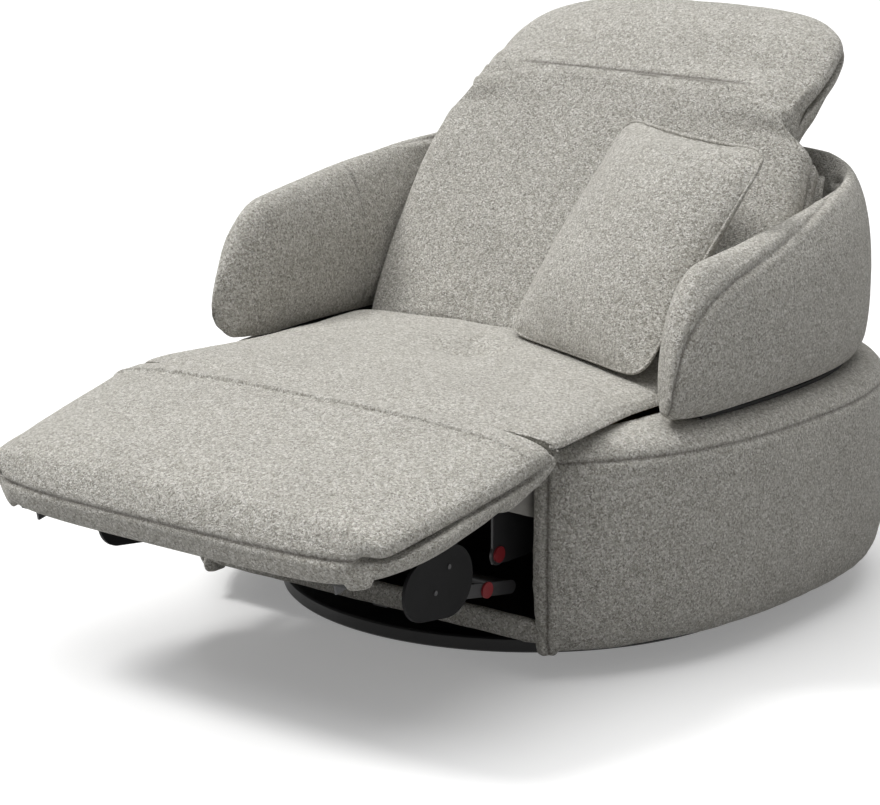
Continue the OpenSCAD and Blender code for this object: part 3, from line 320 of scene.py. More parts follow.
def puff(ob, voxel, pressure, cap, gain, hold, stiff=12):
    """Swells a piece as a stuffed cloth cover. A coarser even copy is simulated, and its
    movement, evened a little, is carried over to the piece, gain mm at most places."""
    sim = bpy.data.objects.new(ob.name + "_sim", ob.data.copy())
    scene.collection.objects.link(sim)
    inset(sim, SIM_INSET)
    remesh(sim, voxel)
    rest, nor = coords(sim), normals(sim)
    d = swollen(sim, pressure, hold, stiff)
    d *= np.minimum(1, cap / np.maximum(np.linalg.norm(d, axis=1), 1e-9))[:, None]
    rise = evened(sim, (d * nor).sum(1), 4)
    tree = point_tree(rest)
    out = []
    for q in coords(ob):
        hits = tree.find_n(Vector(q), 4)
        share = np.array([1 / (dist + 1) for _, _, dist in hits])
        out.append(float(np.dot(share, [rise[i] for _, i, _ in hits]) / share.sum()))
    out = np.array(out)
    out *= gain / max(np.percentile(np.abs(out), 96), 1e-6)
    put(ob, coords(ob) + normals(ob) * np.clip(out, -gain, 1.4 * gain)[:, None])
    scene.frame_set(1)
    me = sim.data
    bpy.data.objects.remove(sim)
    bpy.data.meshes.remove(me)


def subdivide(ob):
    """Halves every edge; the surface keeps its form."""
    bm = bmesh.new()
    bm.from_mesh(ob.data)
    bmesh.ops.subdivide_edges(bm, edges=bm.edges[:], cuts=1, use_grid_fill=True)
    bm.to_mesh(ob.data)
    bm.free()
    smooth_faces(ob.data)
    ob.data.update()


def inset(ob, d):
    put(ob, coords(ob) - normals(ob) * d)


NEIGHBOUR_GAP = 0.6
SKIN_INSET = 0.5


def keep_in(ob, own, out, near, margin=10.0):
    """Holds a piece to out mm past its own solid at most, and off the solids near it, which
    it nears over the margin."""
    tree = solid_tree(own)
    others = [solid_tree(n) for n in near]
    p = coords(ob)
    res = p.copy()
    for i, q in enumerate(p * MM):
        v = Vector(q)
        limit = out
        for other in others:
            loc, nor, _, _ = other.find_nearest(v, (margin + 4) * MM)
            if loc is not None:
                gap = (v - loc).length / MM
                if (v - loc).dot(nor) < 0:
                    gap = -gap
                limit = min(limit, lerp(-NEIGHBOUR_GAP, out, min(max((gap - 2) / margin, 0), 1)))
        loc, nor, _, dist = tree.find_nearest(v)
        side = (v - loc).dot(nor)
        past = dist / MM if side > 0 else -dist / MM
        if past > limit:
            d = (v - loc).normalized() if dist > 1e-7 else nor
            if side <= 0:
                d = -d
            res[i] = np.array(loc + d * limit * MM) / MM
    put(ob, p + evened(ob, res - p, 3))


def attribute(ob, name, values):
    a = ob.data.attributes.get(name) or ob.data.attributes.new(name, "FLOAT", "POINT")
    a.data.foreach_set("value", np.asarray(values, np.float32))


SEAM_STEP = 1.5
CREASE_POINTS = 80


def seam_tree(lines):
    pts = []
    for line in lines:
        line = np.asarray(line, float)
        along = lengths(line)
        pts.append(at_lengths(line, along, np.linspace(0, along[-1], max(int(along[-1] / SEAM_STEP), 2))))
    return point_tree(np.vstack(pts))


def sew(ob, lines, depth, width, puckers, seed, swell, shade_strength=1.0):
    """Presses stitched seams into a piece and marks them for painted shade in its material."""
    tree = seam_tree(lines)
    p, n = coords(ob), normals(ob)
    d = np.array([tree.find(Vector(q))[2] for q in p])
    lump = 1 + puckers * wave(p, 17, seed)
    dip = depth * np.exp(-(d / width) ** 2) * lump
    rise = swell * np.exp(-((d - 3.2 * width) / (1.5 * width)) ** 2)
    pleat = puckers * 0.8 * np.exp(-(d / (width * 3.4)) ** 2) * wave(p, 21, seed + 5)
    put(ob, p + n * (rise + pleat - dip)[:, None])
    # Painted shade along each seam's groove, strongest on the seam line
    seam_shade = shade_strength * np.exp(-(d / 3.0) ** 2)
    old = ob.data.attributes.get("seam_shade")
    if old:
        before = np.empty(len(p), np.float32)
        old.data.foreach_get("value", before)
        seam_shade = np.maximum(seam_shade, before)
    attribute(ob, "seam_shade", seam_shade)


def creases(ob, lines, depth, width):
    """Soft folds: each line fades to nothing at both ends."""
    p, n = coords(ob), normals(ob)
    total = np.zeros(len(p))
    fade = np.sin(np.linspace(0, math.pi, CREASE_POINTS)) ** 0.7
    for line, k in lines:
        line = np.asarray(line, float)
        along = lengths(line)
        q = at_lengths(line, along, np.linspace(0, along[-1], CREASE_POINTS))
        near = np.nonzero(np.linalg.norm(p - q.mean(0), axis=1) < along[-1] + 6 * width)[0]
        dist = np.linalg.norm(p[near][:, None] - q[None], axis=2)
        j = dist.argmin(1)
        d = dist[np.arange(len(near)), j]
        total[near] -= k * depth * fade[j] * (np.exp(-(d / width) ** 2)
                                              - 0.45 * np.exp(-((d - 2 * width) / width) ** 2))
    put(ob, p + n * total[:, None])


# Sizes of the solids that the covers follow
LEG_AX, SEAT_ARC, LEG_R, LEG_TILT, LEG_FOLD = (-562.0, 384.0), 57.5, 56.0, 11.6, 74
BACK_AX, BACK_R, BACK_LEN, BACK_TILT = (102.0, 410.0), 70.0, 452.0, -35
HEAD_LOC, HEAD_R, HEAD_LEN, HEAD_TILT = (-32.0, 452.0), 64.0, 286.0, -62
HEAD_AX = tuple(turn(HEAD_LOC, BACK_AX, BACK_TILT))
DRUM_Y, TOP_Z, SEAM_Z, LOW_Z = 70.0, 398.0, 362.0, 46.0
SEAT_Z, SEAT_LOW, TUFT_FROM_Z = 440.0, 346.0, 400.0


def plan_r(a, w, f, b, p):
    """Radius at angle a of a superellipse: w to the sides, f to the front and b to the back."""
    c, s = np.cos(np.radians(a)), np.sin(np.radians(a))
    return ((np.abs(c) / w) ** p + (np.abs(s) / np.where(s < 0, f, b)) ** p) ** (-1 / p)


def plan_at(a, r):
    """The point in plan at angle a and radius r from the drum's middle."""
    return np.stack([r * np.cos(np.radians(a)), DRUM_Y + r * np.sin(np.radians(a))], -1)


def drum_r(a):
    return plan_r(a, 545.0, 620.0, 550.0, 2.5)


def well_r(a):
    return plan_r(a, 405.0, 470.0, 400.0, 6)


def to_edges(n, power):
    """Even steps from -1 to 1, drawn together at both ends."""
    u = np.linspace(-1, 1, n)
    return np.sign(u) * (1 - (1 - np.abs(u)) ** power)


RIM = 0.1


def loaf(name, loop, across, power, low_power=None, tuft=None):
    """Cushion across x from rows of (y, z, anchor y, anchor z, half width, share of the
    lower power). A tuft is (y, depth, width), pressed into the top."""
    rings = []
    for a in to_edges(across, 1.6):
        q = RIM + (1 - RIM) * round_off(a, power)
        if low_power:
            q = lerp(q, RIM + (1 - RIM) * round_off(a, low_power), np.clip(loop[:, 5], 0, 1))
        y = lerp(loop[:, 2], loop[:, 0], q)
        z = lerp(loop[:, 3], loop[:, 1], q)
        x = a * loop[:, 4]
        if tuft:
            at_y, depth, width = tuft
            z = z - depth * np.exp(-(x * x + (y - at_y) ** 2) / width ** 2) * (z > TUFT_FROM_Z)
        rings.append(np.stack([x, y, z], 1))
    return skin(name, rings)


# Materials
class Nodes:
    """A material under construction, with short ways to add its nodes."""

    def __init__(self, name):
        self.mat = bpy.data.materials.new(name)
        self.mat.use_nodes = True
        self.t = self.mat.node_tree
        self.t.nodes.clear()
        self.out = self.t.nodes.new("ShaderNodeOutputMaterial")
        self.bsdf = self.t.nodes.new("ShaderNodeBsdfPrincipled")
        self.t.links.new(self.bsdf.outputs[0], self.out.inputs[0])
        self.pos = self.t.nodes.new("ShaderNodeTexCoord").outputs["Object"]

    def put(self, v, socket):
        if isinstance(v, bpy.types.NodeSocket):
            self.t.links.new(v, socket)
        else:
            socket.default_value = v

    def set(self, **kw):
        for k, v in kw.items():
            self.put(v, self.bsdf.inputs[k.replace("_", " ")])

    def add(self, kind, vec=None, **kw):
        """A texture node at a place, the object's own by default."""
        n = self.t.nodes.new("ShaderNode" + kind)
        for k, v in kw.items():
            n.inputs[k].default_value = v
        self.put(vec or self.pos, n.inputs["Vector"])
        return n

    def noise(self, scale, detail=3.0, rough=0.55, vec=None, distortion=0.0):
        n = self.add("TexNoise", vec, Scale=scale, Detail=detail, Roughness=rough, Distortion=distortion)
        return n.outputs["Fac"]

    def cells(self, scale, vec=None, feature="F1", out="Distance", rand=1.0):
        n = self.add("TexVoronoi", vec, Scale=scale, Randomness=rand)
        n.feature = feature
        return n.outputs[out]

    def bands(self, direction, scale, distortion):
        n = self.add("TexWave", Scale=scale, Distortion=distortion)
        n.wave_type, n.bands_direction = "BANDS", direction
        return n.outputs["Fac"]

    def stretch(self, *scale):
        return self.add("Mapping", Scale=scale).outputs[0]

    def ramp(self, fac, stops):
        n = self.t.nodes.new("ShaderNodeValToRGB")
        e = n.color_ramp.elements
        while len(e) < len(stops):
            e.new(0.5)
        for k, (pos, col) in enumerate(stops):
            e[k].position = pos
            e[k].color = (*col, 1) if not isinstance(col, float) else (col, col, col, 1)
        self.put(fac, n.inputs[0])
        return n.outputs[0]

    def math(self, op, a, b):
        n = self.t.nodes.new("ShaderNodeMath")
        n.operation = op
        self.put(a, n.inputs[0])
        self.put(b, n.inputs[1])
        return n.outputs[0]

    def mix(self, fac, a, b, kind="MIX"):
        n = self.t.nodes.new("ShaderNodeMix")
        n.data_type, n.blend_type = "RGBA", kind
        self.put(fac, n.inputs[0])
        for k, v in ((6, a), (7, b)):
            self.put(v if isinstance(v, bpy.types.NodeSocket) else (*v, 1), n.inputs[k])
        return n.outputs[2]

    def tint(self, base, by):
        return self.mix(1.0, base, by, "MULTIPLY")

    def bump(self, height, strength, dist):
        n = self.t.nodes.new("ShaderNodeBump")
        n.inputs["Strength"].default_value = strength
        n.inputs["Distance"].default_value = dist
        self.put(height, n.inputs["Height"])
        return n.outputs[0]

    def attr(self, name):
        n = self.t.nodes.new("ShaderNodeAttribute")
        n.attribute_name = name
        return n.outputs["Fac"]


def lin(c):
    """Linear values of a display colour."""
    return tuple(x / 12.92 if x <= 0.04045 else ((x + 0.055) / 1.055) ** 2.4 for x in c)


def boucle():
    """Looped wool cloth: speckled grey loops, with painted shade in the hollows between them."""
    m = Nodes("boucle")
    wobble = m.t.nodes.new("ShaderNodeVectorMath")
    wobble.operation = "MULTIPLY_ADD"
    m.put(m.add("TexNoise", Scale=190, Detail=2).outputs["Color"], wobble.inputs[0])
    m.put((0.006, 0.006, 0.006), wobble.inputs[1])
    m.put(m.pos, wobble.inputs[2])
    place = wobble.outputs[0]
    loops = m.cells(360, place)
    curl = m.cells(260, place, "DISTANCE_TO_EDGE")
    tone = m.cells(330, place, out="Color")
    fine = m.noise(1100, 3, 0.6)
    mid = m.noise(400, 3, 0.65, place)
    broad = m.noise(9, 3, 0.5)
    h = m.math("SUBTRACT", 1.0, m.math("MULTIPLY", loops, 1.35))
    h = m.math("ADD", m.math("MULTIPLY", h, 0.8), m.math("MULTIPLY", curl, 0.9))
    h = m.math("ADD", h, m.math("MULTIPLY", fine, 0.5))
    parts = m.t.nodes.new("ShaderNodeSeparateColor")
    m.put(tone, parts.inputs[0])
    k = m.math("ADD", m.math("MULTIPLY", parts.outputs[0], 0.40), m.math("MULTIPLY", mid, 0.58))
    k = m.math("ADD", k, m.math("MULTIPLY", fine, 0.22))
    col = m.ramp(k, [(0.28, lin((0.47, 0.455, 0.42))), (0.47, lin((0.665, 0.652, 0.617))),
                     (0.64, lin((0.76, 0.75, 0.72))), (0.84, lin((0.88, 0.87, 0.85)))])
    # Painted shade: darker where the loops' height is low, in the hollows between the loops
    col = m.tint(col, m.ramp(h, [(0.22, 0.70), (0.80, 1.08)]))
    col = m.tint(col, m.ramp(broad, [(0.3, 0.955), (0.7, 1.03)]))
    # Painted shade: the cloth darkens along seams and in the tuft, as far as the seam mark reaches
    col = m.mix(m.math("MULTIPLY", m.attr("seam_shade"), 0.75), col, lin((0.33, 0.31, 0.285)))
    m.set(Base_Color=col, Roughness=0.95, Sheen_Weight=0.35, Sheen_Roughness=0.55,
          Normal=m.bump(h, 0.85, 0.0022), Specular_IOR_Level=0.12,
          Sheen_Tint=(*lin((0.93, 0.92, 0.9)), 1))
    return m.mat


def lining_cloth():
    m = Nodes("lining_cloth")
    weave = m.cells(900, rand=0.25)
    col = m.tint(m.ramp(weave, [(0.0, lin((0.72, 0.71, 0.69))), (0.6, lin((0.58, 0.57, 0.55)))]),
                 m.ramp(m.noise(60, 3), [(0.3, 0.9), (0.7, 1.05)]))
    m.set(Base_Color=col, Roughness=0.9, Sheen_Weight=0.15, Normal=m.bump(weave, 0.3, 0.0006))
    return m.mat


def webbing_cloth():
    m = Nodes("webbing_cloth")
    twill = m.bands("DIAGONAL", 160, 1.2)
    col = m.ramp(twill, [(0.2, (0.006, 0.006, 0.007)), (0.8, (0.02, 0.02, 0.022))])
    m.set(Base_Color=col, Roughness=0.8, Normal=m.bump(twill, 0.4, 0.0008))
    return m.mat


def painted(name, col, rough, grain=900.0, wear=(0.12, 0.12, 0.125), specular=0.5):
    """Powder coat or moulded plastic with a fine orange-peel skin."""
    m = Nodes(name)
    peel = m.noise(grain, 4, 0.6)
    dust = m.noise(18, 4, 0.6)
    geo = m.t.nodes.new("ShaderNodeNewGeometry")
    edge = m.ramp(geo.outputs["Pointiness"], [(0.53, 0.0), (0.62, 1.0)])
    base = m.tint(col, m.ramp(dust, [(0.35, 0.86), (0.7, 1.14)]))
    base = m.mix(m.math("MULTIPLY", edge, 0.35), base, wear)
    m.set(Base_Color=base, Normal=m.bump(peel, 0.16, 0.0006), Specular_IOR_Level=specular,
          Roughness=m.math("ADD", m.math("MULTIPLY", dust, 0.16), rough - 0.06))
    return m.mat


def steel(name, col, rough, streak=(1, 1, 60)):
    m = Nodes(name)
    marks = m.noise(40, 4, 0.7, m.stretch(*streak))
    base = m.tint(col, m.ramp(m.noise(25, 3), [(0.3, 0.82), (0.7, 1.08)]))
    m.set(Base_Color=base, Metallic=1.0, Normal=m.bump(marks, 0.12, 0.0004),
          Roughness=m.math("ADD", m.math("MULTIPLY", marks, 0.25), rough - 0.1))
    return m.mat


def plywood(name, light, dark):
    m = Nodes(name)
    grain = m.noise(6, 5, 0.6, m.stretch(2, 26, 60), 0.6)
    fibre = m.noise(300, 3, 0.6, m.stretch(1, 6, 6))
    plies = m.ramp(m.bands("Z", 110, 0.4), [(0.3, dark), (0.7, light)])
    col = m.mix(0.25, m.ramp(grain, [(0.3, dark), (0.65, light)]), plies)
    m.set(Base_Color=col, Roughness=0.62, Normal=m.bump(m.math("ADD", grain, fibre), 0.15, 0.0006))
    return m.mat


def rubber(name, col):
    m = Nodes(name)
    m.set(Base_Color=m.tint(col, m.ramp(m.noise(30, 3), [(0.3, 0.85), (0.7, 1.2)])),
          Roughness=0.82, Normal=m.bump(m.cells(700), 0.35, 0.0007))
    return m.mat


MATS = {
    "fabric": boucle(),
    "lining": lining_cloth(),
    "webbing": webbing_cloth(),
    "pad_rubber": rubber("pad_rubber", lin((0.12, 0.12, 0.125))),
    "black_steel": painted("black_powder_coat", lin((0.10, 0.10, 0.105)), 0.38),
    "bare_steel": steel("bare_steel", lin((0.70, 0.71, 0.72)), 0.25),
    "zinc_steel": steel("zinc_steel", lin((0.63, 0.64, 0.66)), 0.36, (40, 2, 2)),
    "plywood": plywood("plywood", lin((0.78, 0.66, 0.47)), lin((0.62, 0.47, 0.30))),
    "black_plastic": painted("black_plastic", lin((0.055, 0.055, 0.057)), 0.66, 1500.0, (0.02, 0.02, 0.021),
                             specular=0.22),
    "key_plastic": painted("key_plastic", lin((0.74, 0.745, 0.75)), 0.4, 1400.0),
    "red_plastic": painted("red_plastic", lin((0.56, 0.08, 0.11)), 0.45, 1200.0, (0.3, 0.04, 0.05)),
}
# Plywood made near-black for the boards inside the drum and the leg board: painted shade for the drum's dark
# inside
SHADE_DARK_BOARD = plywood("shade_dark_board", lin((0.115, 0.112, 0.108)), lin((0.075, 0.073, 0.07)))
OWN_LOOK = {
    "base_disc": painted("disc_satin_black", lin((0.085, 0.082, 0.08)), 0.34, 700.0),
    # The arms' plywood spacer is made near-black: painted shade for the gap between the arms and the drum
    "wrap_spacer": rubber("spacer_shade_black", lin((0.10, 0.098, 0.095))),
    "cover_screws": MATS["black_steel"],
    "bottom_board": SHADE_DARK_BOARD,
    "side_panel_l": SHADE_DARK_BOARD,
    "side_panel_r": SHADE_DARK_BOARD,
    "rear_panel": SHADE_DARK_BOARD,
    "leg_board": SHADE_DARK_BOARD,
}

slot_of = {part["node"]: part["material_slot"] for part in frame["record"]["subparts"]}
for name, ob in frame["nodes"].items():
    mat = OWN_LOOK.get(name, MATS[slot_of[name]])
    if not ob.material_slots:
        ob.data.materials.append(mat)
    for place in ob.material_slots:
        place.material = mat


def dress(ob, slot, body, *nodes, fill=None, blend=None):
    ob.data.materials.clear()
    ob.data.materials.append(MATS[slot])
    if blend is None:
        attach(ob, body)
    else:
        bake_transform(ob)
    if nodes:
        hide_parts(*nodes)


# Camera, lamps and floor
CAM_PLACE = (2.9665, -3.9704, 1.5675)
CAM_TOWARD = (-0.6035, 0.7587, -0.2453)
CAM_LENS, CAM_SENSOR = 120.68, 36
WORLD_LIGHT = 0.3
FLOOR_HALF = 30000
FLOOR_SHADE, FLOOR_SEEN, FLOOR_GLOW = 0.42, 0.84, 0.24

cam_data = bpy.data.cameras.new("camera")
cam = bpy.data.objects.new("camera", cam_data)
scene.collection.objects.link(cam)
fwd = Vector(CAM_TOWARD).normalized()
right = fwd.cross(Vector((0, 0, 1))).normalized()
up = right.cross(fwd)
cam.matrix_world = Matrix.Translation(CAM_PLACE) @ Matrix((right, up, -fwd)).transposed().to_4x4()
cam_data.sensor_fit = "HORIZONTAL"
cam_data.sensor_width = CAM_SENSOR
cam_data.lens = CAM_LENS
cam_data.clip_end = 100
scene.camera = cam
scene.view_settings.view_transform = "Standard"

world = bpy.data.worlds.new("world")
scene.world = world
world.use_nodes = True
world.node_tree.nodes["Background"].inputs[0].default_value = (1, 1, 1, 1)
world.node_tree.nodes["Background"].inputs[1].default_value = WORLD_LIGHT


def sun(name, toward, strength, angle, col=(1, 1, 1)):
    d = bpy.data.lights.new(name, "SUN")
    d.energy = strength
    d.angle = R(angle)
    d.color = col
    o = bpy.data.objects.new(name, d)
    scene.collection.objects.link(o)
    o.rotation_euler = (-Vector(toward)).to_track_quat("-Z", "Y").to_euler()


sun("top_light", (-0.12, -0.10, 1.0), strength=2.15, angle=70)
sun("left_key", (-0.60, -0.22, 0.88), strength=1.6, angle=16, col=(1, 0.995, 0.985))

corners = [(x * FLOOR_HALF, y * FLOOR_HALF, 0) for x, y in ((-1, -1), (1, -1), (1, 1), (-1, 1))]
floor = make("floor", corners, [(0, 1, 2, 3)])
pale = Nodes("pale_floor")
ray = pale.t.nodes.new("ShaderNodeLightPath")
seen = pale.math("MAXIMUM", ray.outputs["Is Camera Ray"],
                 pale.math("MAXIMUM", ray.outputs["Is Glossy Ray"], ray.outputs["Is Transmission Ray"]))
pale.set(Base_Color=pale.ramp(seen, [(0.0, FLOOR_SHADE), (1.0, FLOOR_SEEN)]), Roughness=0.3,
         Emission_Color=(1, 1, 1, 1), Emission_Strength=pale.math("MULTIPLY", seen, FLOOR_GLOW),
         Specular_IOR_Level=0.35)
floor.data.materials.append(pale.mat)


# Drum cover and the low rail in front
MOUTH_ANGLE = -51.5
MOUTH_NORMAL = np.array([0.70, -0.714])
LEG_SIDE_X = 339.0
MIRROR = np.array([-1, 1.0])


def drum_path():
    """Outer and inner points in plan, outward normals and how full the cover is there, from
    the leg rest opening's right side round the back to its left side."""
    outer, inner, nor, full = [], [], [], []
    mouth = plan_at(MOUTH_ANGLE, drum_r(MOUTH_ANGLE))

    def add(p, q, n, k):
        outer.append(p)
        inner.append(q)
        nor.append(np.array(n) / np.linalg.norm(n))
        full.append(k)

    for t in np.linspace(0, 1, 4):
        add((LEG_SIDE_X, lerp(-404, -424, t)), (352, lerp(-403, -412, t)), (-1, 0), 0.0)
    for a in np.linspace(180, 270, 9)[1:]:
        add(arc_at((353, -424), 14, a), (354, -412), arc_at((0, 0), 1, a), 0.0)
    start = np.array([354.0, -438.0])
    for t in np.linspace(0, 1, 22)[1:-1]:
        p = (1 - t) ** 3 * start + 3 * (1 - t) ** 2 * t * np.array([374, -438.0]) \
            + 3 * (1 - t) * t**2 * (mouth + np.array([-0.714, -0.70]) * 11) + t**3 * mouth
        n = (1 - smooth(t)) * np.array([0, -1.0]) + smooth(t) * MOUTH_NORMAL
        q = lerp(np.array([356, -412.0]), plan_at(MOUTH_ANGLE, well_r(MOUTH_ANGLE) + 0.3), smooth(t))
        add(p, q, n, smooth(t))
    for a in np.linspace(MOUTH_ANGLE, 90, 130):
        e = plan_at(a + 0.05, drum_r(a + 0.05)) - plan_at(a - 0.05, drum_r(a - 0.05))
        add(plan_at(a, drum_r(a)), plan_at(a, well_r(a) + 0.3), (e[1], -e[0]), 1.0)
    halves = [np.array(v, float) for v in (outer, inner, nor)]
    return [np.vstack([v, (v * MIRROR)[-2::-1]]) for v in halves] + [np.array(full + full[-2::-1])]


path_out, path_in, path_normal, path_full = drum_path()
SIDE_TOP = 312
side = spline([(-46, 0), (-30, 2.5), (-15, 12), (-4.5, 34), (1.6, 70), (5, 110), (7, 190), (7, 235),
               (5.6, 269), (2.6, 300), (-0.5, SIDE_TOP)], 44)
side[:, 1] += LOW_Z
brow = spline([(-0.5, SIDE_TOP + LOW_Z), (-1.2, SEAM_Z), (-6, SEAM_Z + 7), (-15, SEAM_Z + 19),
               (-32, SEAM_Z + 29), (-52, SEAM_Z + 34), (-74, TOP_Z)], 20)[1:]
rings = []
for p, q, n, k in zip(path_out, path_in, path_normal, path_full):
    ring = []
    for off, z in np.vstack([side, brow]):
        off *= lerp(0.16, 1.0, k) if off < 0 else lerp(0.3, 1, k)
        ring.append((*(p + n * off), z))
    top = np.array(ring[-1])
    for u in (0.25, 0.5, 0.75, 1.0):
        ring.append((*lerp(top[:2], q, u), lerp(top[2], TOP_Z, min(u * 2, 1))))
    for z in np.linspace(TOP_Z, LOW_Z, 8)[1:]:
        ring.append((*q, z))
    first = np.array(ring[0])
    for u in (0.66, 0.33):
        ring.append((*lerp(first[:2], q, u), LOW_Z))
    rings.append(ring)
drum = skin("drum_upholstery", rings)
subdivide(drum)
p = coords(drum)
outside = np.clip((np.abs(np.linalg.norm(p[:, :2] - [0, DRUM_Y], axis=1)) - 430) / 40, 0, 1)
put(drum, p + normals(drum) * (outside * (0.9 * wave(p, 160, 3) + 0.45 * wave(p, 60, 4)))[:, None])
top_seam = [(*(p + n * (-1.0 if k > 0.5 else -0.5)), SEAM_Z)
            for p, n, k in zip(path_out, path_normal, path_full)]
corner = int(np.argmax(path_full > 0.16))
right_seam = [(*(path_out[corner] + path_normal[corner] * off * 0.3), z) for off, z in side[2:]]
left_seam = [(-x, y, z) for x, y, z in right_seam]
sew(drum, [top_seam], depth=2.6, width=4.0, puckers=0.3, seed=5, swell=1.0)
sew(drum, [right_seam, left_seam], depth=2.6, width=3.4, puckers=0.5, seed=6, swell=1.2)
for sx in (1, -1):
    creases(drum, [([(sx * 341, -428, 178), (sx * 352, -437, 160), (sx * 366, -438, 132)], 1.0),
                   ([(sx * 341, -430, 108), (sx * 356, -438, 84), (sx * 372, -437, 56)], 1.2),
                   ([(sx * 342, -430, 230), (sx * 358, -438, 214), (sx * 370, -438, 210)], 0.6)],
            depth=3.4, width=5.0)
dress(drum, "fabric", "drum", "drum_cover", "front_fascia", fill=0.9)

RAIL_HALF, RAIL_MIDDLE = 346, np.array([-425.0, 79.5])
rail_loop = spline([(-437.5, 66), (-438.5, 80), (-436.5, 93), (-430, 97.5), (-420, 97.5), (-413, 94),
                    (-412, 80), (-413, 65), (-420, 61.5), (-430, 61)], 28, True)
rings = []
for x in np.linspace(-RAIL_HALF, RAIL_HALF, 160):
    lump = 0.6 * math.sin(x * 0.031) + 0.4 * math.sin(x * 0.083 + 1)
    k = 1 - 0.12 * smooth((abs(x) - RAIL_HALF + 24) / 24)
    shift = np.array([0.35 * lump, 0.5 * lump])
    rings.append([(x, *(RAIL_MIDDLE + (p - RAIL_MIDDLE) * k + shift)) for p in rail_loop])
rail = skin("rail_upholstery", rings)
subdivide(rail)
for sx in (1, -1):
    creases(rail, [([(sx * 342, -437, 96), (sx * 322, -439, 80), (sx * 312, -438, 64)], 1.2),
                   ([(sx * 296, -436, 97), (sx * 306, -439, 82), (sx * 312, -438, 64)], 1.0),
                   ([(sx * 270, -434, 97), (sx * 262, -439, 86), (sx * 250, -439, 74)], 0.5)],
            depth=3.2, width=4.5)
dress(rail, "fabric", "drum", "front_fascia", fill=0.8)


# Arms and back wrap
WRAP_END, WRAP_R, WRAP_POINTS = -32.5, 480, 96
WRAP_SHIFT = np.array([0, 36])
WRAP_LOW, NOSE_LIFT, NOSE_LENGTH = 400, 52, 74
ARM_LOW, ARM_RISE, ARM_LENGTH = 406, 228, 96
BACK_RISE, BACK_LENGTH = 94, 720


def wrap_ring(a):
    """Section of the arms' roll at angle a; d is how far it is from the nearer end."""
    d = (90 - WRAP_END - abs(a - 90)) * math.pi / 180 * WRAP_R
    q = 0.5 + 0.5 * float(round_off(1 - min(d / NOSE_LENGTH, 1), 2))
    r_out = float(drum_r(a)) - 24
    r_in = float(plan_r(a, 412.0, 800.0, 400.0, 5))
    r_mid, half_w = (r_out + r_in) / 2 + (1 - q) * 40, (r_out - r_in) / 2 * q
    low = WRAP_LOW + NOSE_LIFT * (1 - q) ** 1.2
    high = ARM_LOW + ARM_RISE * float(round_off(1 - min((d + 5) / ARM_LENGTH, 1), 2.4)) \
        + BACK_RISE * min(d / BACK_LENGTH, 1) ** 0.9
    z_mid, half_h = (low + high) / 2, (high - low) / 2
    b = np.arange(WRAP_POINTS) * 2 * math.pi / WRAP_POINTS
    above = np.where(np.cos(b) < 0, 1.85, 3.2)
    power = np.where(np.sin(b) < -1e-9, lerp(2.8, 5.0, min(d / 130, 1)), above)
    c, s = signed_power(np.cos(b), 2 / power), signed_power(np.sin(b), 2 / power)
    r = r_mid + half_w * c + np.maximum(c, 0) * q * (12 * (1 - s * s) - 9 * ((s + 1) / 2) ** 2)
    return np.column_stack([plan_at(a, r) - WRAP_SHIFT, z_mid + half_h * s])


ends = WRAP_END + 25 * (1 - np.cos(np.linspace(0, math.pi / 2, 26)))
middle = np.linspace(ends[-1], 180 - ends[-1], 110)
angles = np.concatenate([ends[:-1], middle, (180 - ends[:-1])[::-1]])
wrap_rings = np.array([wrap_ring(a) for a in angles])
wrap = skin("arm_wrap_cushion", wrap_rings)


def wrap_at(i, turned):
    """The point of ring i that is turned so many degrees up from its outer side."""
    j = turned / 360 * WRAP_POINTS
    j0 = math.floor(j)
    return lerp(wrap_rings[i, j0 % WRAP_POINTS], wrap_rings[i, (j0 + 1) % WRAP_POINTS], j - j0)


puff(wrap, voxel=14, pressure=3.0, cap=20, gain=3.0, hold=lambda p: smooth((418 - p[:, 2]) / 12))
keep_in(wrap, "arm_wrap", out=9.0, near=("drum_cover", "seat_cushion", "back_cushion", "throw_pillow"))
subdivide(wrap)
# The arm's seam climbs from the front underside over the end and along the top
climb = [(-32, -6), (-31, 4), (-30, 11), (-27, 17), (-24, 24), (-18, 36), (-12, 43), (-4, 51), (4, 62),
         (14, 79), (26, 98), (36, 112), (46, 128)]
climb_angles, climb_turns = zip(*climb)
seam_start = int(np.argmin(np.abs(angles + 32.1)))
right_seam = [wrap_rings[seam_start, j] for j in range(-22, -2)]
right_seam += [wrap_at(i, float(np.interp(a, climb_angles, climb_turns)))
               for i, a in enumerate(angles[:len(angles) // 2]) if -32.2 <= a <= 46]
inner_start = int(np.argmin(np.abs(angles - 3)))
inner_seam = wrap_rings[inner_start, 26:66]
flip = np.array([-1, 1, 1])
sew(wrap, [right_seam, np.array(right_seam) * flip], depth=3.0, width=4.6, puckers=0.35, seed=11, swell=1.4)
sew(wrap, [inner_seam, inner_seam * flip], depth=1.6, width=4.0, puckers=0.3, seed=12, swell=0.4, shade_strength=0.7)
dress(wrap, "fabric", "drum", "arm_wrap", fill=0.85)


# Seat
def low_r(a):
    """Radius of the seat's front edge at angle a: an arc, and a straight line below it."""
    return SEAT_ARC / math.cos(R(max(-a - (90 - LEG_TILT - LEG_FOLD), 0)))


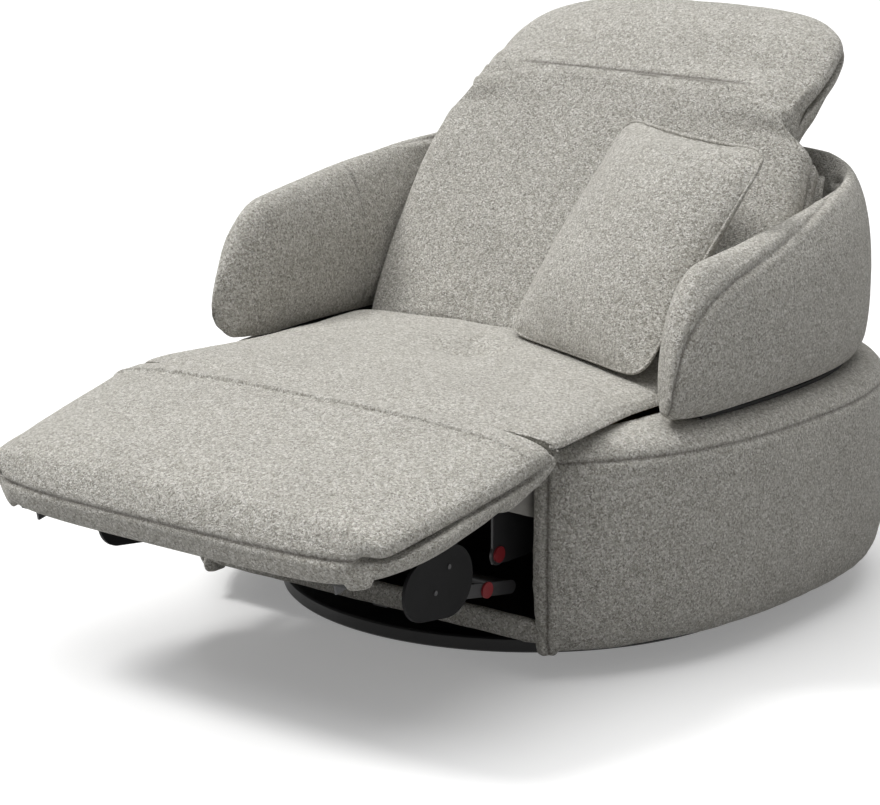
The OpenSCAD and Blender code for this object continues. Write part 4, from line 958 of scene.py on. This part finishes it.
SEAT_REAR, SEAT_LIP, SEAT_MID_Z = 28, 2.4, 401.5
TUFT_Y = -158
tip = arc_at(LEG_AX, SEAT_ARC, 53)
front = LEG_AX[0] + SEAT_ARC
top_end = tip[0] + SEAT_LIP
low_end = arc_at(LEG_AX, low_r(-30), -30)[0] + 20
top = [(SEAT_REAR, 408), (SEAT_REAR, 424), (23, 435), (12, SEAT_Z)] \
    + [(lerp(12, top_end, i / 10), SEAT_Z) for i in range(1, 11)] \
    + [(tip[0] + 0.8, tip[1] + 8.0)] + [arc_at(LEG_AX, SEAT_ARC, a) for a in (51, 35, 18, 4)]
low = [(SEAT_REAR, 401), (SEAT_REAR, 389), (SEAT_REAR, 362), (12, SEAT_LOW)] \
    + [(lerp(12, low_end, i / 10), SEAT_LOW) for i in range(1, 11)] \
    + [(low_end - 8, 348.4)] + [arc_at(LEG_AX, low_r(a), a) for a in (-30, -21, -12, -4)]


def seat_side(y):
    return lerp(402, 424, min(max((-y - 265) / 165, 0), 1)) + 12 * smooth((-y - 430) / 80)


def seat_hold(p):
    tuft = np.exp(-(p[:, 0]**2 + (p[:, 1] - TUFT_Y)**2) / 26**2)
    return np.maximum(smooth((388 - p[:, 2]) / 14), tuft)


rows = [(y, z, min(max(y, -526), 20), SEAT_MID_Z, seat_side(y)) for y, z in top]
rows += [(y, z, min(max(p[0], front + 20), 20), SEAT_MID_Z, 334)
         for (y, z), p in reversed(list(zip(low, top)))]
seat = loaf("seat_pad", spline(rows, 220, True), across=120, power=2.7, tuft=(TUFT_Y, 21, 46))
inset(seat, SKIN_INSET)
puff(seat, voxel=12, pressure=3.5, cap=22, gain=6.0, hold=seat_hold)
keep_in(seat, "seat_cushion", out=7.0, margin=22.0,
        near=("drum_cover", "arm_wrap", "leg_pad", "back_cushion", "throw_pillow", "seat_frame",
              "side_plate_l", "side_plate_r"))
subdivide(seat)
# The tuft's dimple gets painted shade through the seam mark, at 0.4 strength
sew(seat, [[(0, TUFT_Y, 426), (1, TUFT_Y, 426)]],
    depth=3.5, width=7, puckers=0.0, seed=21, swell=0.0, shade_strength=0.4)
creases(seat, [([(-4, -160, 428), (-46, -166, 436), (-92, -150, 440)], 1.0),
               ([(3, -156, 428), (34, -134, 436), (58, -96, 440)], 0.9),
               ([(4, -160, 428), (40, -178, 436), (92, -186, 440)], 1.0),
               ([(-3, -156, 428), (-28, -118, 438), (-40, -72, 440)], 0.7),
               ([(0, -164, 428), (8, -206, 438), (4, -248, 440)], 0.5)], depth=5.0, width=7.0)
dress(seat, "fabric", "carriage", "seat_cushion", fill=0.8)


# Leg rest
def leg_out(p):
    return turn(p, LEG_AX, LEG_TILT)


def leg_in(p):
    return turn(np.array(p) - np.array(LEG_AX), (0, 0), -LEG_TILT)


PAD_TIP, PAD_LOW = -364, -43.7
SLOT_X = (286, 314)
rear = [arc_at(LEG_AX, LEG_R, a) for a in (-12, 2, 20, 36, 48)] \
    + [(-528.2, 432.5), (-528.5, 437.2), (-530.6, 440.0), (-537, 440.8), (-549, 441.2)]
pad_top = [tuple(p) for p in leg_in(rear)] \
    + [(-0.166 * k * 276 / 46, 56 + 6 * math.sin(math.pi * k / 6)) for k in range(1, 7)] \
    + [(-318, 53), (-342, 39), (-357.5, 19), (PAD_TIP, -2)]
pad_low = [(-363.4, -20), (-361, -38), (-355, -48), (-346, -52.5), (-337, -53.6), (-331.4, -53),
           (-331.2, -46), (-324, PAD_LOW)] \
    + [(lerp(-72, -300, k / 5), PAD_LOW) for k in (5, 4, 3, 2, 1)] \
    + [(-72, PAD_LOW), (-60, -56)] + [arc_at((0, 0), LEG_R, a) for a in (-90, -60, -32)]


def leg_side(y):
    return 437 + 7 * float(smooth((20 - y) / 90)) - 80 * max((-y - 190) / 174, 0) ** 2.4


def leg_hold(p):
    q = leg_in(p[:, 1:])
    return np.maximum(smooth((-8 - q[:, 1]) / 10), smooth((q[:, 0] + 10) / 20))


rows = []
for y, z in pad_top + pad_low:
    under = 1.0 if z < -15 and y < -20 else 0.0
    rows.append((y, z, min(max(y, -322), 54), -4, leg_side(max(y, PAD_TIP + 0.1)) - 7 * under, under))
rows = spline(rows, 230, True)
leg_loop = np.column_stack([leg_out(rows[:, :2]), leg_out(rows[:, 2:4]), rows[:, 4:]])
pad = loaf("leg_rest_pad", leg_loop, across=150, power=3.2, low_power=4.4)
# Beside the board the pad reaches as low as its front edge does
p = coords(pad)
q = leg_in(p[:, 1:])
flap = smooth((np.abs(p[:, 0]) - 341) / 7) * smooth((-26 - q[:, 1]) / 13) * smooth((-68 - q[:, 0]) / 10)
q[:, 1] -= flap * np.clip(53.6 + q[:, 1], 0, 11)
p[:, 1:] = leg_out(q)
put(pad, p)
inset(pad, 0.4)
cut_slots(pad, leg_out, SLOT_X, (-62, 62), (-62, 22))
puff(pad, voxel=12, pressure=3.0, cap=22, gain=4.0, hold=leg_hold)
subdivide(pad)
# The border seam follows the pad's edge, SEAM_DOWN below the leg rest's own middle plane
SEAM_DOWN = 3
p = coords(pad)
q = leg_in(p[:, 1:])
around = np.degrees(np.arctan2(p[:, 0], -(q[:, 0] + 170)))
on_edge = (np.abs(q[:, 1] + SEAM_DOWN) < 4) & (q[:, 0] < -14) & ((np.abs(p[:, 0]) > 330) | (q[:, 0] < -310))
border = []
for t in np.arange(-111, 111, 1.5):
    k = on_edge & (np.abs(around - t) < 1.2)
    if k.any():
        border.append((p[k, 0].mean(), *leg_out((q[k, 0].mean(), -SEAM_DOWN))))
sew(pad, [border], depth=1.7, width=3.2, puckers=0.35, seed=31, swell=0.7)
dress(pad, "fabric", None, "leg_pad", fill=0.8,
      blend=("carriage", "leg_rest", (0, -0.532, 0.44), (0, -0.592, 0.43)))


# Back
def back_out(p):
    return turn(p, BACK_AX, BACK_TILT)


def back_in(p):
    return turn(np.array(p) - np.array(BACK_AX), (0, 0), -BACK_TILT)


def back_side(u):
    return 402 - 66 * max((u / BACK_LEN - 0.55) / 0.5, 0) ** 2


def back_hold(p):
    q = back_in(p[:, 1:])
    return np.maximum(smooth((q[:, 0] - 8) / 14), smooth((q[:, 1] - 385) / 45))


def anchors(front, rear, low, high):
    """Points half way between the front and the rear, no lower and no higher than told."""
    return [((p[0] + q[0]) / 2, min(max((p[1] + q[1]) / 2, low), high)) for p, q in zip(front, rear)]


REAR_N, HOLLOW_R = 40, HEAD_R + 2.4
MIDDLE_N, MIDDLE_U = -35, 378
back_front = [(0, -BACK_R * 0.995)] \
    + [(-n * BACK_R, u * BACK_R) for n, u in [(0.5, -0.87), (0.86, -0.5), (1, 0)]] \
    + [(-n * BACK_R, u * BACK_LEN) for n, u in [(1.2, 0.13), (1.34, 0.27), (1.43, 0.44), (1.47, 0.62),
                                                (1.47, 0.78), (1.455, 0.88)]]
back_rear = [(BACK_R * 0.03, -BACK_R * 0.995)] \
    + [(-n * BACK_R, u * BACK_R) for n, u in [(-0.24, -0.97), (-0.52, -0.68), (-0.57, -0.3)]] \
    + [(REAR_N, u * BACK_LEN) for u in (0.02, 0.2, 0.4, 0.58, 0.71, 0.79)]
mids = anchors(back_front, back_rear, -BACK_R / 3, MIDDLE_U)
# The top: a thin lip that follows the head's round end, and the hollow that the head turns in
lip_front = [(-101.6, 428), (-101.6, 448), (-100.8, 461), (-98.4, 471), (-94.0, 478.6)] \
    + [arc_at(HEAD_LOC, HOLLOW_R, a) for a in (160, 172, 186, 204, 224, 244, 262)]
lip_rear = [(n * REAR_N, u * BACK_LEN) for n, u in [(0.975, 0.82), (0.9, 0.83), (0.7, 0.836)]] \
    + [arc_at(HEAD_LOC, HOLLOW_R, a) for a in (296, 285, 273)]
rows = [(*q, *m, back_side(m[1]), 0) for q, m in zip(back_rear, mids)] \
    + [(*q, MIDDLE_N, MIDDLE_U, back_side(470), 1) for q in lip_rear + lip_front[::-1]] \
    + [(*p, *m, back_side(m[1]), 0) for p, m in reversed(list(zip(back_front, mids)))]
rows = spline(rows, 230, True)
back_loop = np.column_stack([back_out(rows[:, :2]), back_out(rows[:, 2:4]), rows[:, 4:]])
back = loaf("back_pad", back_loop, across=120, power=3.2, low_power=9)
inset(back, SKIN_INSET)
cut_slots(back, back_out, SLOT_X, (-25, 78), (-71, 128))
puff(back, voxel=12, pressure=3.5, cap=25, gain=6.0, hold=back_hold)
keep_in(back, "back_cushion", out=7.0, margin=20.0,
        near=("seat_cushion", "arm_wrap", "throw_pillow", "back_frame", "side_plate_l", "side_plate_r"))
subdivide(back)
lip_seam = [(x, *back_out((-96.2, 476.0))) for x in np.linspace(-350, 350, 60)]
sew(back, [lip_seam], depth=0.7, width=4.0, puckers=0.2, seed=51, swell=0.5)
dress(back, "fabric", None, "back_cushion", fill=0.8,
      blend=("back", "head", (0, *back_out((-98, 448))), (0, *back_out((-98, 480)))))


# Head
def head_out(p):
    return turn(p, HEAD_AX, HEAD_TILT)


def head_in(p):
    return turn(np.array(p) - np.array(HEAD_AX), (0, 0), -HEAD_TILT)


def head_side(u):
    base = 347 - 9 * float(smooth((60 - u) / 60))
    return base * (1 if u < 30 else (1 - min((u - 30) / 256, 0.985) ** 3) ** (1 / 3))


def head_hold(p):
    q = head_in(p[:, 1:])
    return np.maximum(smooth((q[:, 0] - 12) / 12), smooth((62 - q[:, 1]) / 45))


def head_row(p, m):
    return (*p, *m, head_side(m[1]), float(smooth((70 - p[1]) / 60)))


head_front = [arc_at((0, 0), HEAD_R, a) for a in (266, 240, 210, 180)] \
    + [(-n * HEAD_R, u * HEAD_LEN) for n, u in [(1.16, 0.24), (1.24, 0.44), (1.1, 0.68), (0.72, 0.88),
                                                (0.26, 0.985)]] \
    + [(0, HEAD_LEN)]
head_rear = [arc_at((0, 0), HEAD_R * (0.8 if a > 340 else 1), a) for a in (274, 300, 325, 345)] \
    + [(-n * HEAD_R, u * HEAD_LEN) for n, u in [(-0.6, 0.22), (-0.6, 0.44), (-0.58, 0.64), (-0.42, 0.85),
                                                (-0.08, 0.975)]] \
    + [(1, HEAD_LEN * 0.998)]
mids = anchors(head_front, head_rear, -HEAD_R / 3, HEAD_LEN * 0.93)
rows = [head_row(q, m) for q, m in zip(head_rear, mids)] \
    + [head_row(p, m) for p, m in reversed(list(zip(head_front, mids)))]
rows = spline(rows, 170, True)
head_loop = np.column_stack([head_out(rows[:, :2]), head_out(rows[:, 2:4]), rows[:, 4:]])
head = loaf("head_pad", head_loop, across=110, power=2.6, low_power=8)
inset(head, SKIN_INSET)
cut_slots(head, head_out, (196, 213.5), (-22, 66), (-66, 92))
puff(head, voxel=12, pressure=3.5, cap=25, gain=5.0, hold=head_hold)
keep_in(head, "head_cushion", out=6.0, margin=12.0, near=("back_frame", "head_board"))
subdivide(head)
base_seam = [(x, *head_out((-64.5, 3.0))) for x in np.linspace(-335, 335, 60)]
sew(head, [base_seam], depth=1.2, width=4.0, puckers=0.2, seed=52, swell=0.5)
dress(head, "fabric", "head", "head_cushion", fill=0.8)


# Pillow
P_W, P_H, P_T = 415.0, 430.0, 60.0
P_RIM, P_SIDE_IN, P_TOP_IN, P_LOW_IN = 3.5, 0.062, 11, 2
P_FULL = 1.006
PILLOW = Matrix.Translation((-20, -36, 445.4)) @ Matrix.Rotation(R(-21), 4, "Z") \
    @ Matrix.Rotation(R(-35), 4, "X") @ Matrix.Translation((P_W / 2, 0, 0))


def corner_in(u, v):
    """How far the pillow's rounded corners draw in, as a scale from its middle."""
    return 1 - 0.075 * (u * u * v * v) ** 4


def moved(p, matrix):
    m = np.array(matrix)
    return np.asarray(p, float) @ m[:3, :3].T + m[:3, 3]


def pillow_hold(p):
    q = moved(p, PILLOW.inverted())
    edge = np.minimum(P_W / 2 - np.abs(q[:, 0]), np.minimum(q[:, 2], P_H - q[:, 2]))
    return smooth((16 - edge) / 8)


up_v = to_edges(60, 1.5)
thick = P_RIM + (P_T + 1 - P_RIM) * (1 - np.abs(up_v) ** 2.7) ** 0.82
half = P_W / 2 * (P_FULL - P_SIDE_IN * (1 - up_v**2))
face = np.column_stack([thick, (up_v + 1) / 2 * P_H, half])
section = np.vstack([face, face[::-1] * np.array([-1, 1, 1])])
v = section[:, 1] / P_H * 2 - 1
rings = []
for u in to_edges(84, 1.6):
    q = 0.07 + 0.93 * float((1 - min(abs(u), 1) ** 2.7) ** 0.78)
    k = corner_in(u, v)
    z = section[:, 1] - np.where(v > 0, P_TOP_IN, P_LOW_IN) * (1 - u * u) * v**3 - P_H / 2
    rings.append(moved(np.column_stack([u * section[:, 2] * k, section[:, 0] * q, z * k + P_H / 2]), PILLOW))
pillow = skin("pillow_cover", rings)
inset(pillow, SKIN_INSET)
puff(pillow, voxel=9, pressure=4.0, cap=22, gain=5.0, hold=pillow_hold, stiff=8)
keep_in(pillow, "throw_pillow", out=7.0, margin=16.0, near=("seat_cushion", "arm_wrap", "back_cushion"))
subdivide(pillow)

grid = np.linspace(-1, 1, 60)
side_x = P_W / 2 * (P_FULL - P_SIDE_IN * (1 - grid * grid))
wide_x = P_W / 2 * P_FULL
edge = [(x, 0, (v + 1) / 2 * P_H) for x, v in zip(side_x, grid)]
edge += [(u * wide_x, 0, P_H - P_TOP_IN * (1 - u * u)) for u in grid[::-1][1:]]
edge += [(-x, 0, (v + 1) / 2 * P_H) for x, v in list(zip(side_x, grid))[::-1][1:]]
edge += [(u * wide_x, 0, P_LOW_IN * (1 - u * u)) for u in grid[1:-1]]
edge = np.array(edge)
centre = np.array([0, 0, P_H / 2])
edge = centre + (edge - centre) * corner_in(edge[:, 0] / wide_x, edge[:, 2] / P_H * 2 - 1)[:, None]
inner = moved(centre + (edge - centre) * 0.955, PILLOW)
sew(pillow, [np.vstack([inner, inner[:1]])], depth=1.8, width=5.0, puckers=0.7, seed=41, swell=0.4, shade_strength=0.5)
folds = []
for sx, top_end, share in ((1, 0, 1.0), (-1, 0, 0.8), (1, 1, 0.9), (-1, 1, 0.7)):
    into = 1 - 2 * top_end
    q = np.array([sx * (P_W / 2 - 22), -10, top_end * P_H + into * 22])
    for turned, k in ((0.30, 1.0), (0.52, 0.7), (0.75, 0.9)):
        a = math.pi / 2 * turned
        d = np.array([-sx * math.cos(a), 0, into * math.sin(a)])
        folds.append((moved([q, q + d * 38 + [0, -16, 0], q + d * 78 + [0, -30, 0]], PILLOW), share * k))
creases(pillow, folds, depth=2.4, width=8.0)
dress(pillow, "fabric", "pillow", "throw_pillow", fill=0.7)
welt = tube("pillow_welt", moved(centre + (edge - centre) * 0.998, PILLOW), radius=3.1, sides=10)
dress(welt, "fabric", "pillow")


# Back panel, gussets and webbing
PANEL_LOW, PANEL_HIGH, PANEL_N, PANEL_HALF = -30.0, 392.0, 58.0, 388
shares = [(0.86, 0.0), (1, 0.18), (1, 0.65), (0.92, 1.0)]
outline = spline([(k * PANEL_HALF, lerp(PANEL_LOW, PANEL_HIGH, t)) for k, t in shares], 60)
x = np.linspace(-1, 1, 60)
rings = []
for wide, u in outline:
    near = np.minimum((1 - np.abs(x)) * wide, min(u - PANEL_LOW, PANEL_HIGH - u) + 1.0) / 9
    raised = 1.2 + 1.3 * np.sin(np.clip(near, 0, 1) * math.pi / 2)
    ring = [(a * wide, *back_out((PANEL_N + 2.5 + n, u))) for a, n in zip(x, raised)]
    ring += [(a * wide, *back_out((PANEL_N + 0.3, u))) for a in x[::-1]]
    rings.append(ring)
panel = skin("back_panel", rings)
dress(panel, "fabric", "back", "back_cover")

GUSSET_FRONT, GUSSET_REAR, GUSSET_TOP = -500, -421, 381
GUSSET_OUT, GUSSET_IN = 331.2, 330.3
for side_name, sx in (("right", 1), ("left", -1)):
    rings = []
    for y in np.linspace(GUSSET_FRONT, GUSSET_REAR, 30):
        low_z = lerp(294, 264, (y - GUSSET_FRONT) / (GUSSET_REAR - GUSSET_FRONT))
        sheet = [(0.35 * math.sin(z * 0.09 + y * 0.05), z) for z in np.linspace(GUSSET_TOP, low_z, 30)]
        ring = [(sx * (GUSSET_OUT + off), y, z) for off, z in sheet]
        ring += [(sx * (GUSSET_IN + off), y, z) for off, z in sheet[::-1]]
        rings.append(ring)
    gusset = skin("gusset_" + side_name, rings)
    dress(gusset, "lining", "carriage", "seat_gussets")


STRAPS, STRAP_WIDE = 5, 46
STRAP_SECTION = ((-1, -1), (-0.96, -1.2), (0, -1.2), (0.96, -1.2), (1, -1), (1, 1), (0.96, 1.2), (0, 1.2),
                 (-0.96, 1.2), (-1, 1))


def strap(name, a, b, thick, across, sag=0.0):
    """Flat elastic strap from a to b, a little slack."""
    a, b, across = (np.array(v, float) for v in (a, b, across))
    n = np.cross(b - a, across)
    n /= np.linalg.norm(n)
    rings = []
    for t in np.linspace(0, 1, 60):
        c = lerp(a, b, t) - np.array([0, 0, sag * math.sin(math.pi * t)])
        rings.append([c + across * s * STRAP_WIDE / 2 + n * h * thick / 2.4 for s, h in STRAP_SECTION])
    return skin(name, rings)


lo, hi = (np.array(v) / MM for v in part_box("seat_webbing"))
web_z = (lo[2] + hi[2]) / 2
strap_across = (0, *turn((0, 1), (0, 0), BACK_TILT))
for i in range(STRAPS):
    k = (i + 0.5) / STRAPS
    x, z = lerp(-252, 252, k), web_z + 0.6
    web = strap("seat_strap_long_%d" % i, (x, lo[1] + 0.5, z), (x, hi[1] - 0.5, z), 1.4, (1, 0, 0), 0.2)
    dress(web, "webbing", "carriage", "seat_webbing")
    y, z = lerp(lo[1], hi[1], k), web_z - 0.8
    web = strap("seat_strap_cross_%d" % i, (lo[0] + 0.5, y, z), (hi[0] - 0.5, y, z), 1.4, (0, 1, 0), 0.2)
    dress(web, "webbing", "carriage", "seat_webbing")
for i in range(STRAPS):
    y, z = back_out((50, 16 + 330 * (i + 0.5) / STRAPS))
    web = strap("back_strap_%d" % i, (-284, y, z), (284, y, z), 1.6, strap_across)
    dress(web, "webbing", "back", "back_webbing")
